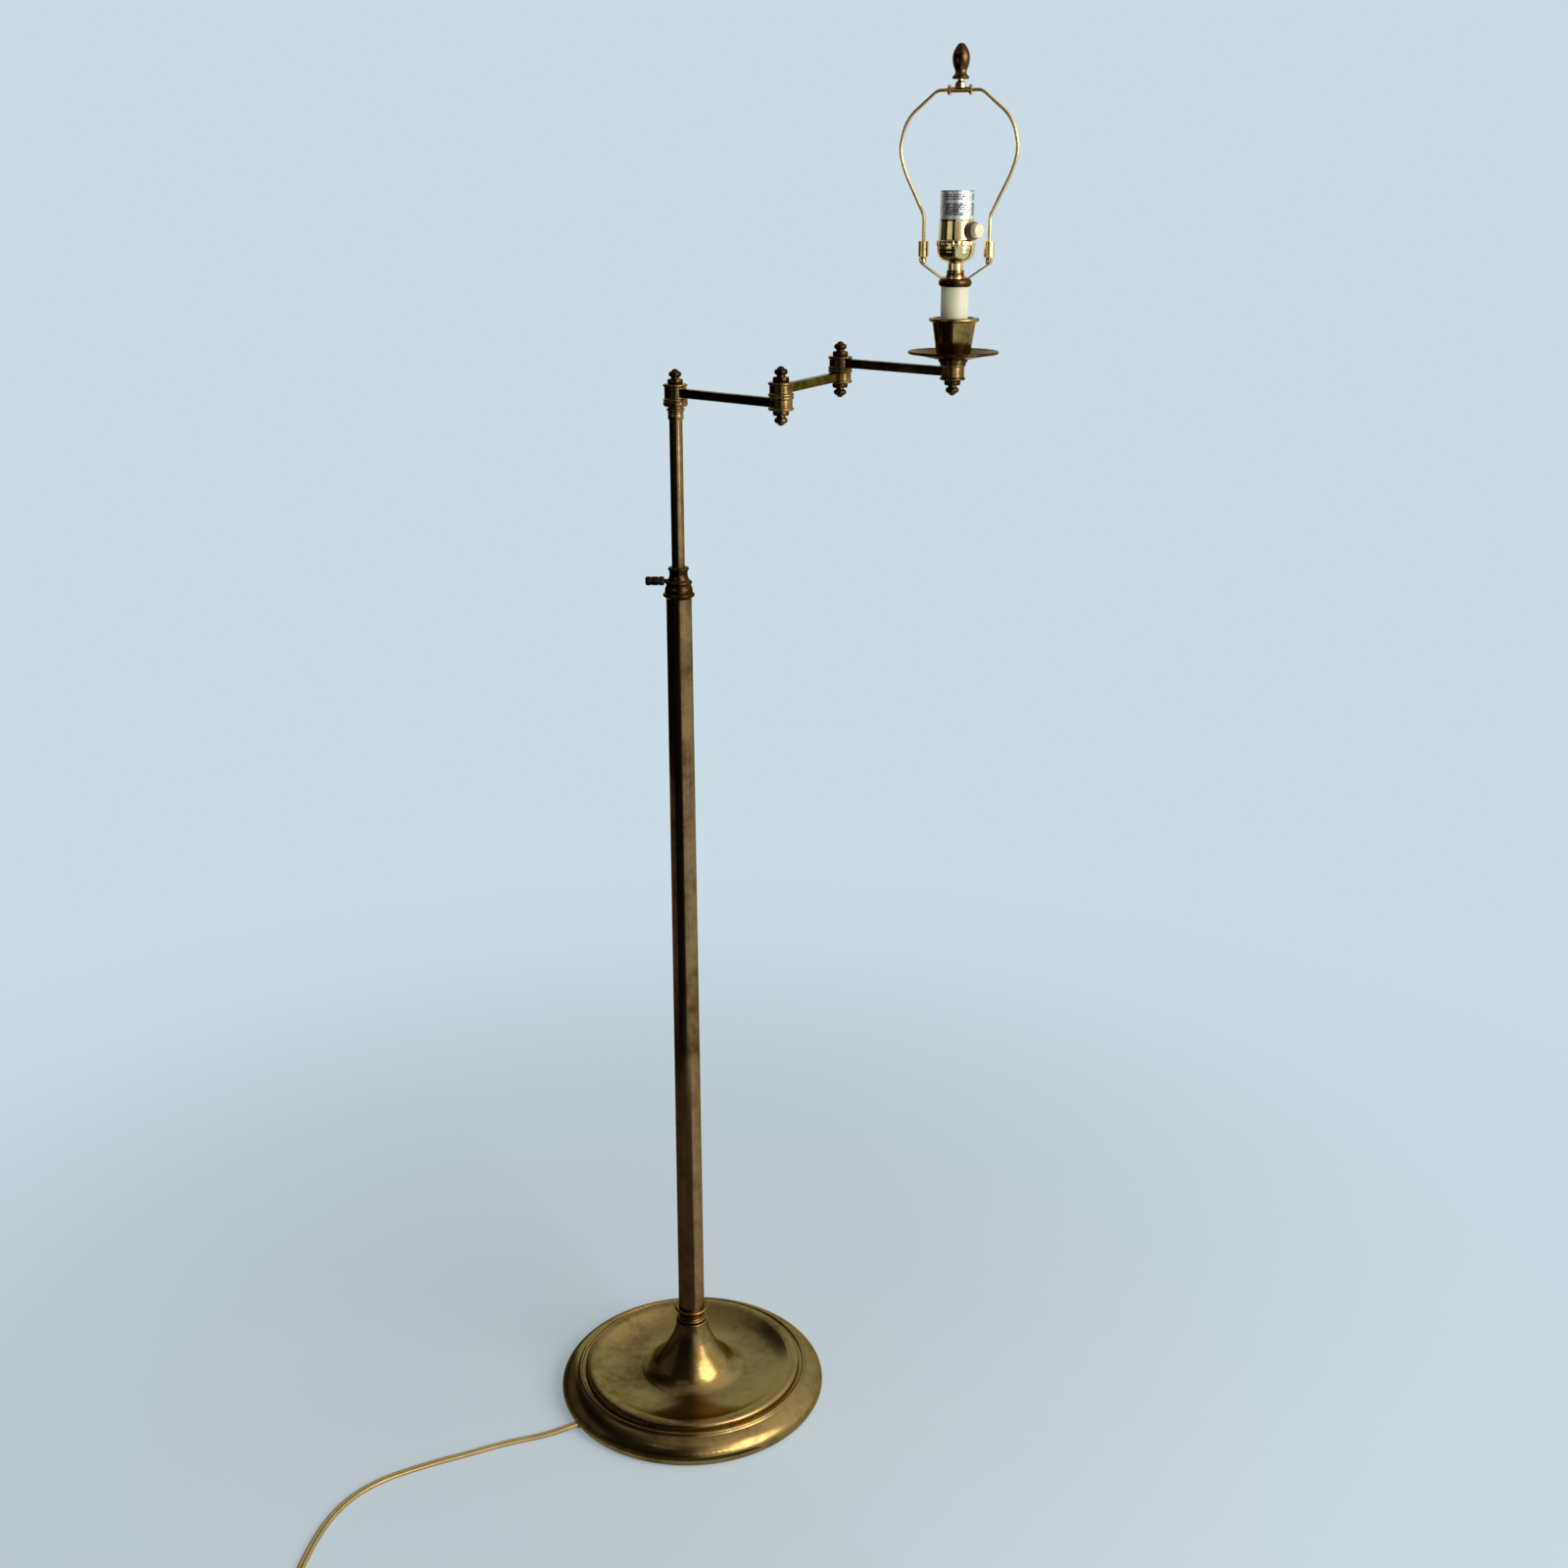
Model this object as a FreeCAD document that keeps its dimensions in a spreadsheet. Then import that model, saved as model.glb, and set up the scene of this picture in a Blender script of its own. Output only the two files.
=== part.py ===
import FreeCAD, Part
import math
import os

import Sketcher

# Swing-arm bridge floor lamp, in millimetres. +Z is up, the origin is the middle of the felt
# pad's underside, and +X is the side to which the three arms reach at rest.

# ---------------------------------------------------------------------------------------------
# Driving dimensions. Each becomes an aliased cell of the spreadsheet.
# ---------------------------------------------------------------------------------------------

SIZES = {
    # fits
    "running_gap": 0.08,
    "seat_gap": 0.05,
    # felt, weight and the fittings under it
    "felt_thickness": 2.0,
    "felt_margin": 6.7,
    "weight_margin": 14.0,
    "weight_headroom": 3.0,
    "weight_chamfer": 1.5,
    "hub_radius": 21.0,
    "hub_top": 32.0,
    "hub_draft": 3.0,
    "recess_radius": 18.0,
    "recess_top": 20.0,
    "slot_width": 9.0,
    "slot_top": 9.0,
    "nipple_radius": 6.5,
    "nipple_bore": 4.6,
    "nipple_bottom": 13.0,
    "washer_radius": 16.0,
    "washer_thickness": 1.6,
    "nut_flat": 19.0,
    "nut_height": 4.6,
    # spun base cover
    "cover_wall": 1.6,
    "rim_radius": 141.0,
    "rim_bottom": 1.5,
    "rim_foot_inset": 2.7,
    "rim_shoulder_inset": 3.0,
    "rim_shoulder_height": 16.0,
    "rim_round": 10.65,
    "flange_round_drop": 14.9,
    "flange_width": 14.0,
    "flange_inner_height": 24.4,
    "bead_step": 1.2,
    "bead_outer_height": 25.6,
    "bead_width": 3.8,
    "bead_inner_height": 26.0,
    "bead_centre_drop": 0.3,
    "groove_slope": 1.2,
    "groove_height": 25.7,
    "groove_width": 1.9,
    "crest_foot_slope": 0.7,
    "crest_foot_height": 28.5,
    "crest_roll_width": 3.2,
    "crest_roll_overlap": 0.7,
    "crest_outer_height": 31.75,
    "crest_width": 8.5,
    "crest_inner_height": 30.9,
    "crest_centre_drop": 14.9,
    "valley_slope": 7.0,
    "valley_outer_height": 28.1,
    "valley_inner_radius": 55.0,
    "valley_inner_height": 23.4,
    "valley_flatness": 2.0,
    "trumpet_radius": 39.7,
    "trumpet_height": 32.0,
    "sweep_centre_rise": 16.1,
    "bell_radius": 21.9,
    "bell_height": 60.6,
    "bell_centre_reach": 110.4,
    "flare_centre_reach": 73.0,
    "neck_radius": 16.0,
    "neck_height": 83.0,
    "neck_roll_height": 2.4,
    "neck_roll_bulge": 0.9,
    # turned collar between base and column
    "foot_ring_radius": 14.4,
    "foot_ring_bulge": 1.6,
    "foot_ring_height": 4.2,
    "foot_groove": 0.7,
    "foot_groove_height": 0.9,
    "foot_waist_radius": 13.35,
    "foot_waist_height": 6.5,
    "foot_lip_radius": 17.9,
    "foot_lip_height": 15.9,
    "foot_lip_thickness": 3.4,
    "foot_lip_round": 1.65,
    "foot_flare_reach": 9.8,
    "foot_floor": 10.0,
    # column and its foot plug
    "column_length": 778.2,
    "column_bottom_radius": 13.75,
    "column_top_radius": 12.1,
    "column_wall": 1.2,
    "foot_plug_height": 14.0,
    "plug_fit_gap": 0.2,
    # lock collar, its bush and the clamp screw
    "collar_height": 29.8,
    "collar_ring_radius": 15.05,
    "collar_mid_radius": 12.75,
    "collar_waist_radius": 11.7,
    "collar_neck_radius": 9.0,
    "collar_top_radius": 9.95,
    "collar_ring_low": 1.4,
    "collar_ring_high": 5.4,
    "collar_mid_low": 13.0,
    "collar_mid_high": 17.0,
    "collar_top_height": 3.2,
    "collar_round": 1.4,
    "collar_step": 0.5,
    "collar_bell_reach": 9.0,
    "collar_scotia_reach": 10.0,
    "collar_throat_gap": 0.5,
    "collar_lip": 2.8,
    "collar_spigot_length": 20.0,
    "collar_spigot_radius": 10.75,
    "bush_wall": 1.3,
    "bush_length": 44.0,
    "screw_angle": 180.0,
    "screw_height": 16.4,
    "screw_tip_gap": 0.15,
    "screw_radius": 2.0,
    "screw_neck_length": 7.4,
    "screw_knob_radius": 4.3,
    "screw_knob_length": 17.7,
    "screw_knob_round": 1.6,
    "screw_groove": 0.7,
    # mast
    "mast_radius": 6.15,
    "mast_wall": 1.0,
    "mast_length": 560.0,
    "mast_exposed": 137.0,
    "mast_socket_depth": 10.0,
    "guide_radius": 10.5,
    "guide_height": 25.0,
    "fitting_height": 16.5,
    "fitting_ferrule_radius": 7.35,
    "fitting_small_ring_radius": 7.6,
    "fitting_ring_radius": 8.5,
    "fitting_neck_radius": 6.95,
    "fitting_cup_radius": 11.35,
    "fitting_ferrule_top": 5.3,
    "fitting_small_ring_top": 7.4,
    "fitting_ring_top": 10.3,
    "fitting_cup_low": 12.0,
    "fitting_cup_edge": 2.4,
    "fitting_step": 0.5,
    # pivots, knuckles, finials
    "pivot_radius": 4.75,
    "pivot_bore": 3.4,
    "pivot_grip": 3.9,
    "knuckle_radius": 10.1,
    "flange_radius": 11.3,
    "flange_thickness": 2.3,
    "flange_round": 0.7,
    "flange_step": 0.4,
    "shoulder_height": 15.5,
    "elbow_height": 11.75,
    "end_height": 14.0,
    "elbow_washer": 0.4,
    "elbow_washer_radius": 9.6,
    "finial_nut_radius": 7.2,
    "finial_nut_height": 4.4,
    "finial_round": 0.5,
    "finial_step": 0.5,
    "finial_neck_radius": 3.8,
    "finial_ball_drop": 2.3,
    "finial_ball_radius": 5.9,
    "finial_ball_height": 8.5,
    "finial_cap_radius": 3.4,
    "finial_cap_height": 11.4,
    "finial_height": 13.5,
    # arms
    "arm_length": 135.0,
    "arm_1_angle": -44.2,
    "arm_2_angle": 66.1,
    "arm_3_angle": -44.9,
    "bar_size": 7.9,
    "bar_wall": 1.0,
    "bar_corner": 0.8,
    "bar_seat": 6.2,
    # drip dish, candle cup and candle
    "dish_boss_radius": 12.85,
    "dish_boss_height": 3.4,
    "dish_boss_step": 1.2,
    "dish_floor": 5.2,
    "dish_flat_radius": 15.0,
    "dish_radius": 39.75,
    "dish_rim_height": 10.9,
    "dish_lip": 2.6,
    "cup_bottom_radius": 14.4,
    "cup_top_radius": 19.0,
    "cup_height": 33.8,
    "cup_wall": 1.2,
    "cup_lip_radius": 22.1,
    "cup_lip_thickness": 3.4,
    "candle_radius": 12.0,
    "candle_wall": 1.2,
    "candle_length": 58.6,
    "cap_radius": 14.4,
    "cap_height": 6.6,
    "cap_round": 2.0,
    "cap_spigot": 4.0,
    # harp saddle
    "saddle_thickness": 1.6,
    "saddle_width": 9.0,
    "saddle_flat": 11.0,
    "saddle_eye_radius": 7.8,
    "saddle_rise": 12.0,
    "leg_spread": 29.05,
    "prong_base_radius": 2.9,
    "prong_radius": 2.2,
    "prong_shoulder": 18.1,
    "prong_length": 6.5,
    "harp_angle": -20.0,
    # lamp socket
    "check_ring_radius": 8.05,
    "check_ring_height": 5.6,
    "check_ring_flange": 1.6,
    "check_ring_round": 0.8,
    "socket_neck_radius": 6.75,
    "socket_neck_height": 5.6,
    "socket_cap_height": 15.5,
    "socket_cap_wall": 0.8,
    "socket_cap_step": 1.0,
    "socket_radius": 16.0,
    "shell_wall": 0.5,
    "shell_band_radius": 16.5,
    "shell_band_height": 8.9,
    "shell_waist_radius": 15.6,
    "shell_top_radius": 14.95,
    "shell_height": 26.6,
    "liner_radius": 14.4,
    "liner_wall": 0.75,
    "liner_rise": 23.2,
    "liner_drop": 2.0,
    "core_radius": 13.6,
    "core_stem_radius": 7.5,
    "core_top": 24.4,
    "screw_shell_bore": 13.2,
    "screw_shell_wall": 0.4,
    "screw_shell_height": 21.8,
    "screw_shell_lip": 4.0,
    "screw_shell_draw": 2.2,
    "screw_shell_draw_height": 3.8,
    "contact_radius": 3.2,
    "contact_height": 3.4,
    "switch_angle": -44.5,
    "switch_height": 17.0,
    "switch_shaft_radius": 2.0,
    "switch_bush_radius": 3.6,
    "switch_reach": 28.3,
    "switch_knob_length": 10.8,
    "switch_knob_radius": 7.0,
    "switch_skirt_radius": 7.5,
    "switch_skirt_length": 2.6,
    "switch_crown_length": 4.2,
    "switch_waist": 0.8,
    "switch_gap": 0.3,
    "switch_shaft_tip": 8.0,
    # harp, sleeves and harp finial
    "wire_radius": 1.5,
    "harp_height": 127.9,
    "harp_top_half": 19.3,
    "harp_top_bend": 9.0,
    "harp_shoulder_reach": 46.2,
    "harp_shoulder_drop": 22.5,
    "harp_belly_reach": 51.9,
    "harp_belly_drop": 47.3,
    "harp_taper_reach": 46.7,
    "harp_taper_drop": 65.4,
    "harp_knee_drop": 100.3,
    "harp_knee_bend": 14.0,
    "bracket_half": 10.2,
    "bracket_radius": 2.4,
    "ear_radius": 4.3,
    "ear_thickness": 2.0,
    "boss_radius": 5.1,
    "boss_height": 6.1,
    "boss_clearance": 0.2,
    "boss_collar": 1.4,
    "boss_taper": 0.6,
    "stud_radius": 1.9,
    "stud_height": 8.0,
    "sleeve_radius": 4.5,
    "sleeve_height": 12.8,
    "egg_radius": 7.35,
    "egg_height": 28.2,
    "egg_foot_radius": 7.2,
    "egg_foot_round": 1.0,
    "egg_foot_height": 2.6,
    "egg_waist_radius": 4.6,
    "egg_waist_height": 6.2,
    "egg_bead": 0.4,
    "egg_start_height": 7.2,
    "egg_belly_height": 16.2,
    "egg_shoulder_radius": 4.0,
    "egg_shoulder_height": 25.6,
    # cord, its bushing, the coil and the plug
    "cord_angle": 213.0,
    "cord_width": 7.4,
    "cord_thickness": 3.9,
    "cord_height": 2.0,
    "cord_straight": 6.0,
    "lead_radius": 2.4,
    "lead_bend": 9.0,
    "bushing_radius": 5.2,
    "bushing_bore": 3.9,
    "bushing_length": 9.5,
    "bushing_recess": 0.5,
    "bushing_floor_gap": 0.2,
    "coil_x": -309.0,
    "coil_y": -363.0,
    "coil_radius": 43.0,
    "coil_half_width": 8.0,
    "coil_height": 17.0,
    "coil_turn_offset": 4.0,
    "plug_x": -283.0,
    "plug_relief_length": 19.0,
    "plug_relief_start": 4.4,
    "plug_relief_end": 6.0,
    "plug_width": 25.0,
    "plug_length": 28.0,
    "plug_corner": 3.0,
    "plug_height": 13.0,
    "blade_length": 16.0,
    "blade_width": 6.3,
    "blade_thickness": 1.5,
    "blade_spacing": 12.7,
}

document = FreeCAD.newDocument("bridge_floor_lamp")
sheet = document.addObject("Spreadsheet::Sheet", "Dims")


# ---------------------------------------------------------------------------------------------
# A size keeps its value and the spreadsheet formula that gives it
# ---------------------------------------------------------------------------------------------

def value_of(item):
    return item.value if isinstance(item, Size) else float(item)


def formula_of(item):
    return item.formula if isinstance(item, Size) else "(%r)" % float(item)


class Size:
    def __init__(self, value, formula):
        self.value = float(value)
        self.formula = formula

    def __add__(self, other):
        return Size(self.value + value_of(other), "(%s + %s)" % (self.formula, formula_of(other)))

    def __sub__(self, other):
        return Size(self.value - value_of(other), "(%s - %s)" % (self.formula, formula_of(other)))

    def __mul__(self, other):
        return Size(self.value * value_of(other), "(%s * %s)" % (self.formula, formula_of(other)))

    def __truediv__(self, other):
        return Size(self.value / value_of(other), "(%s / %s)" % (self.formula, formula_of(other)))

    def __neg__(self):
        return Size(-self.value, "(0 - %s)" % self.formula)


def cosine(angle):
    return Size(math.cos(math.radians(value_of(angle))), "cos(%s)" % formula_of(angle))


def sine(angle):
    return Size(math.sin(math.radians(value_of(angle))), "sin(%s)" % formula_of(angle))


size = {}
for row, (word, number) in enumerate(SIZES.items(), start=1):
    sheet.set("A%d" % row, word)
    sheet.set("B%d" % row, str(number))
    sheet.setAlias("B%d" % row, word)
    size[word] = Size(number, "Dims." + word)
document.recompute()
ZERO = Size(0.0, "(0)")
HALF_TURN = 180.0


# ---------------------------------------------------------------------------------------------
# Sketches, bodies and features
# ---------------------------------------------------------------------------------------------

def line(across, up):
    return {"to": (across, up)}


def arc(across, up, turn, centre_across=None, centre_up=None):
    """An arc to a point; turn is +1 counterclockwise or -1, and one coordinate of the centre is given."""
    return {"to": (across, up), "turn": turn, "centre": (centre_across, centre_up)}


def bulge(across, up, depth, start_up):
    """An arc on a vertical chord from start_up, standing out by depth from the chord."""
    half = (up - start_up) / 2
    radius = (half * half + depth * depth) / (depth * 2)
    way = 1 if half.value > 0 else -1
    return arc(across, up, way, centre_across=across + depth - radius)


def arc_centre(start, end, centre):
    """The point at equal distances from start and end that has the given coordinate."""
    x0, y0 = start
    x1, y1 = end
    square = (x1 * x1 + y1 * y1 - x0 * x0 - y0 * y0) / 2
    if centre[0] is not None:
        x = value_of(centre[0])
        return x, (square - x * (x1 - x0)) / (y1 - y0)
    y = value_of(centre[1])
    return (square - y * (y1 - y0)) / (x1 - x0), y


def pin_point(fixed, geometry, position, point):
    """Two rules that hold a sketch point at its distances from the sketch's origin."""
    for name, axis, item in (("DistanceX", -2, point[0]), ("DistanceY", -1, point[1])):
        if not isinstance(item, Size) and item == 0 or item is ZERO:
            fixed.append((Sketcher.Constraint("PointOnObject", geometry, position, axis), None))
        else:
            rule = Sketcher.Constraint(name, -1, 1, geometry, position, value_of(item))
            fixed.append((rule, formula_of(item)))


def draw(sketch, start, moves):
    """Draws a closed outline from start through the moves, each corner tied to the sheet."""
    first = sketch.GeometryCount
    corners = [start] + [move["to"] for move in moves]
    shapes, fixed, ends = [], [], []
    for index, move in enumerate(moves):
        begin = [value_of(item) for item in corners[index]]
        end = [value_of(item) for item in corners[index + 1]]
        geometry = first + index
        if "turn" not in move:
            shapes.append(Part.LineSegment(FreeCAD.Vector(*begin), FreeCAD.Vector(*end)))
            ends.append((1, 2))
            continue
        middle = arc_centre(begin, end, move["centre"])
        low, high = (begin, end) if move["turn"] > 0 else (end, begin)
        circle = Part.Circle(
            FreeCAD.Vector(*middle),
            FreeCAD.Vector(0, 0, 1),
            math.dist(begin, middle),
        )
        angles = [math.atan2(p[1] - middle[1], p[0] - middle[0]) for p in (low, high)]
        if angles[1] <= angles[0]:
            angles[1] += 2 * math.pi
        shapes.append(Part.ArcOfCircle(circle, *angles))
        ends.append((1, 2) if move["turn"] > 0 else (2, 1))
        given_across, given_up = move["centre"]
        if given_across is not None:
            rule = Sketcher.Constraint("DistanceX", -1, 1, geometry, 3, value_of(given_across))
            fixed.append((rule, formula_of(given_across)))
        else:
            rule = Sketcher.Constraint("DistanceY", -1, 1, geometry, 3, value_of(given_up))
            fixed.append((rule, formula_of(given_up)))
    sketch.addGeometry(shapes)
    for index in range(len(moves)):
        following = (index + 1) % len(moves)
        joint = (first + index, ends[index][1], first + following, ends[following][0])
        fixed.append((Sketcher.Constraint("Coincident", *joint), None))
        pin_point(fixed, first + index, ends[index][0], corners[index])
    offset = sketch.ConstraintCount
    sketch.addConstraint([rule for rule, formula in fixed])
    for index, (rule, formula) in enumerate(fixed):
        if formula is not None:
            sketch.setExpression("Constraints[%d]" % (offset + index), formula)


def draw_circle(sketch, across, up, radius):
    geometry = sketch.addGeometry(
        Part.Circle(
            FreeCAD.Vector(value_of(across), value_of(up), 0),
            FreeCAD.Vector(0, 0, 1),
            value_of(radius),
        )
    )
    fixed = []
    pin_point(fixed, geometry, 3, (across, up))
    fixed.append((Sketcher.Constraint("Radius", geometry, value_of(radius)), formula_of(radius)))
    offset = sketch.ConstraintCount
    sketch.addConstraint([rule for rule, formula in fixed])
    for index, (rule, formula) in enumerate(fixed):
        if formula is not None:
            sketch.setExpression("Constraints[%d]" % (offset + index), formula)


def draw_rectangle(sketch, left, low, right, high):
    draw(sketch, (left, low), [line(right, low), line(right, high), line(left, high), line(left, low)])


def plane_of(body, role):
    return next(item for item in body.Origin.OriginFeatures if item.Role == role)


def new_sketch(body, role, name, lift=None):
    sketch = body.newObject("Sketcher::SketchObject", body.Name + "_" + name)
    sketch.AttachmentSupport = [(plane_of(body, role), "")]
    sketch.MapMode = "FlatFace"
    if lift is not None:
        sketch.setExpression("AttachmentOffset.Base.z", formula_of(lift))
    return sketch


def new_body(name, across=ZERO, away=ZERO, up=ZERO, axis=(0, 0, 1), angle=ZERO):
    body = document.addObject("PartDesign::Body", name)
    body.Label = name
    place(body, across, away, up, axis, angle)
    return body


def place(item, across, away, up, axis=(0, 0, 1), angle=ZERO):
    turn = FreeCAD.Rotation(FreeCAD.Vector(*axis), value_of(angle))
    point = FreeCAD.Vector(value_of(across), value_of(away), value_of(up))
    item.Placement = FreeCAD.Placement(point, turn)
    for name, part in (("x", across), ("y", away), ("z", up)):
        if part is not ZERO:
            item.setExpression("Placement.Base." + name, formula_of(part))
    if isinstance(angle, Size) and angle is not ZERO:
        item.setExpression("Placement.Rotation.Angle", formula_of(angle))


def revolve(body, start, moves, name="turning", axis="V_Axis"):
    """A full turn of an outline in the body's XZ plane, about its Z axis or, with H_Axis, its X axis."""
    sketch = new_sketch(body, "XZ_Plane", name + "_outline")
    draw(sketch, start, moves + [line(*start)])
    feature = body.newObject("PartDesign::Revolution", body.Name + "_" + name)
    feature.Profile = sketch
    feature.ReferenceAxis = (sketch, [axis])
    feature.Angle = 360.0
    sketch.Visibility = False
    return feature


def pad(body, sketch, length, name="pad", symmetric=False):
    feature = body.newObject("PartDesign::Pad", body.Name + "_" + name)
    feature.Profile = sketch
    feature.SideType = "Symmetric" if symmetric else "One side"
    feature.Length = value_of(length)
    feature.setExpression("Length", formula_of(length))
    sketch.Visibility = False
    return feature


def pocket(body, sketch, length, name="pocket"):
    """A cut that goes the way the sketch's plane faces, checked by the volume it takes away."""
    document.recompute()
    before = body.Shape.Volume
    feature = body.newObject("PartDesign::Pocket", body.Name + "_" + name)
    feature.Profile = sketch
    feature.Reversed = True
    feature.Length = value_of(length)
    feature.setExpression("Length", formula_of(length))
    sketch.Visibility = False
    document.recompute()
    if body.Shape.Volume >= before - 0.001:
        raise RuntimeError(feature.Name + " cuts nothing")
    return feature


def turned(name, start, moves, up=ZERO, across=ZERO, away=ZERO, axis=(0, 0, 1), angle=ZERO):
    body = new_body(name, across, away, up, axis, angle)
    revolve(body, start, moves)
    return body


def ring(name, outer, inner, height, up=ZERO, across=ZERO, away=ZERO):
    moves = [line(outer, ZERO), line(outer, height), line(inner, height)]
    return turned(name, (inner, ZERO), moves, up, across, away)


# ---------------------------------------------------------------------------------------------
# Radii, heights and places that follow from the sizes
# ---------------------------------------------------------------------------------------------

rim_foot_radius = size["rim_radius"] - size["rim_foot_inset"]
rim_shoulder_radius = size["rim_radius"] - size["rim_shoulder_inset"]
flange_inner_radius = rim_shoulder_radius - size["flange_width"]
bead_outer_radius = flange_inner_radius - size["bead_step"]
bead_inner_radius = bead_outer_radius - size["bead_width"]
groove_radius = bead_inner_radius - size["groove_slope"]
crest_base_radius = groove_radius - size["groove_width"]
crest_foot_radius = crest_base_radius - size["crest_foot_slope"]
crest_outer_radius = crest_foot_radius - size["crest_roll_width"]
crest_inner_radius = crest_outer_radius - size["crest_width"]
valley_outer_radius = crest_inner_radius - size["valley_slope"]
felt_radius = rim_foot_radius - size["cover_wall"] - size["felt_margin"]
weight_radius = rim_shoulder_radius - size["weight_margin"]
weight_top = size["valley_inner_height"] - size["cover_wall"] - size["weight_headroom"]
bushing_outer = size["rim_radius"] - size["bushing_recess"]
bushing_inner = bushing_outer - size["bushing_length"]
cord_exit_height = size["bushing_radius"] + size["bushing_floor_gap"]

column_bottom = size["neck_height"] + size["foot_floor"]
column_top = column_bottom + size["column_length"]
collar_top = column_top + size["collar_height"]
fitting_bottom = collar_top + size["mast_exposed"]
fitting_top = fitting_bottom + size["fitting_height"]
mast_bottom = fitting_bottom + size["mast_socket_depth"] - size["mast_length"]

arm_1_level = fitting_top + size["shoulder_height"] / 2
elbow_1_seam = arm_1_level + size["elbow_height"] / 2
arm_2_level = elbow_1_seam + size["elbow_washer"] + size["elbow_height"] / 2
elbow_2_seam = arm_2_level + size["elbow_height"] / 2
arm_3_level = elbow_2_seam + size["elbow_washer"] + size["elbow_height"] / 2

elbow_1_x = size["arm_length"] * cosine(size["arm_1_angle"])
elbow_1_y = size["arm_length"] * sine(size["arm_1_angle"])
elbow_2_x = elbow_1_x + size["arm_length"] * cosine(size["arm_2_angle"])
elbow_2_y = elbow_1_y + size["arm_length"] * sine(size["arm_2_angle"])
head_x = elbow_2_x + size["arm_length"] * cosine(size["arm_3_angle"])
head_y = elbow_2_y + size["arm_length"] * sine(size["arm_3_angle"])

dish_bottom = arm_3_level + size["end_height"] / 2
cup_bottom = dish_bottom + size["dish_floor"]
candle_bottom = cup_bottom + size["cup_wall"]
candle_top = candle_bottom + size["candle_length"]
saddle_bottom = candle_top + size["cap_height"]
saddle_top = saddle_bottom + size["saddle_thickness"]
socket_bottom = saddle_top + size["check_ring_height"]
shell_bottom = socket_bottom + size["socket_cap_height"]
shell_top = shell_bottom + size["shell_height"]
sleeve_bottom = saddle_bottom + size["prong_shoulder"]
prong_top = sleeve_bottom + size["prong_length"]
harp_bottom = prong_top
harp_top = harp_bottom + size["harp_height"]
egg_bottom = harp_top + size["bracket_radius"] + size["boss_height"]

pivot_hole = size["pivot_radius"] + size["running_gap"]


# ---------------------------------------------------------------------------------------------
# Base: felt, cast weight, spun cover and the threaded nipple that clamps them
# ---------------------------------------------------------------------------------------------

nipple_hole = size["nipple_radius"] + size["seat_gap"]


def make_felt():
    felt = document.addObject("Part::Cylinder", "felt_pad")
    felt.Label = "felt_pad"
    felt.setExpression("Radius", formula_of(felt_radius))
    felt.setExpression("Height", formula_of(size["felt_thickness"]))
    return felt


def make_weight():
    """A cast disc with a hub, a recess below for the nut and a radial slot for the lead."""
    bottom = size["felt_thickness"]
    edge = weight_radius
    top = weight_top
    chamfer = size["weight_chamfer"]
    body = turned(
        "base_weight",
        (size["recess_radius"], bottom),
        [
            line(edge, bottom),
            line(edge, top - chamfer),
            line(edge - chamfer, top),
            line(size["hub_radius"] + size["hub_draft"], top),
            line(size["hub_radius"], size["hub_top"]),
            line(nipple_hole, size["hub_top"]),
            line(nipple_hole, size["recess_top"]),
            line(size["recess_radius"], size["recess_top"]),
        ],
        angle=size["cord_angle"],
    )
    slot = new_sketch(body, "XY_Plane", "slot_outline")
    half = size["slot_width"] / 2
    draw_rectangle(slot, size["recess_radius"] / 2, -half, edge + size["slot_width"], half)
    pocket(body, slot, size["slot_top"], "slot")
    return body


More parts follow.
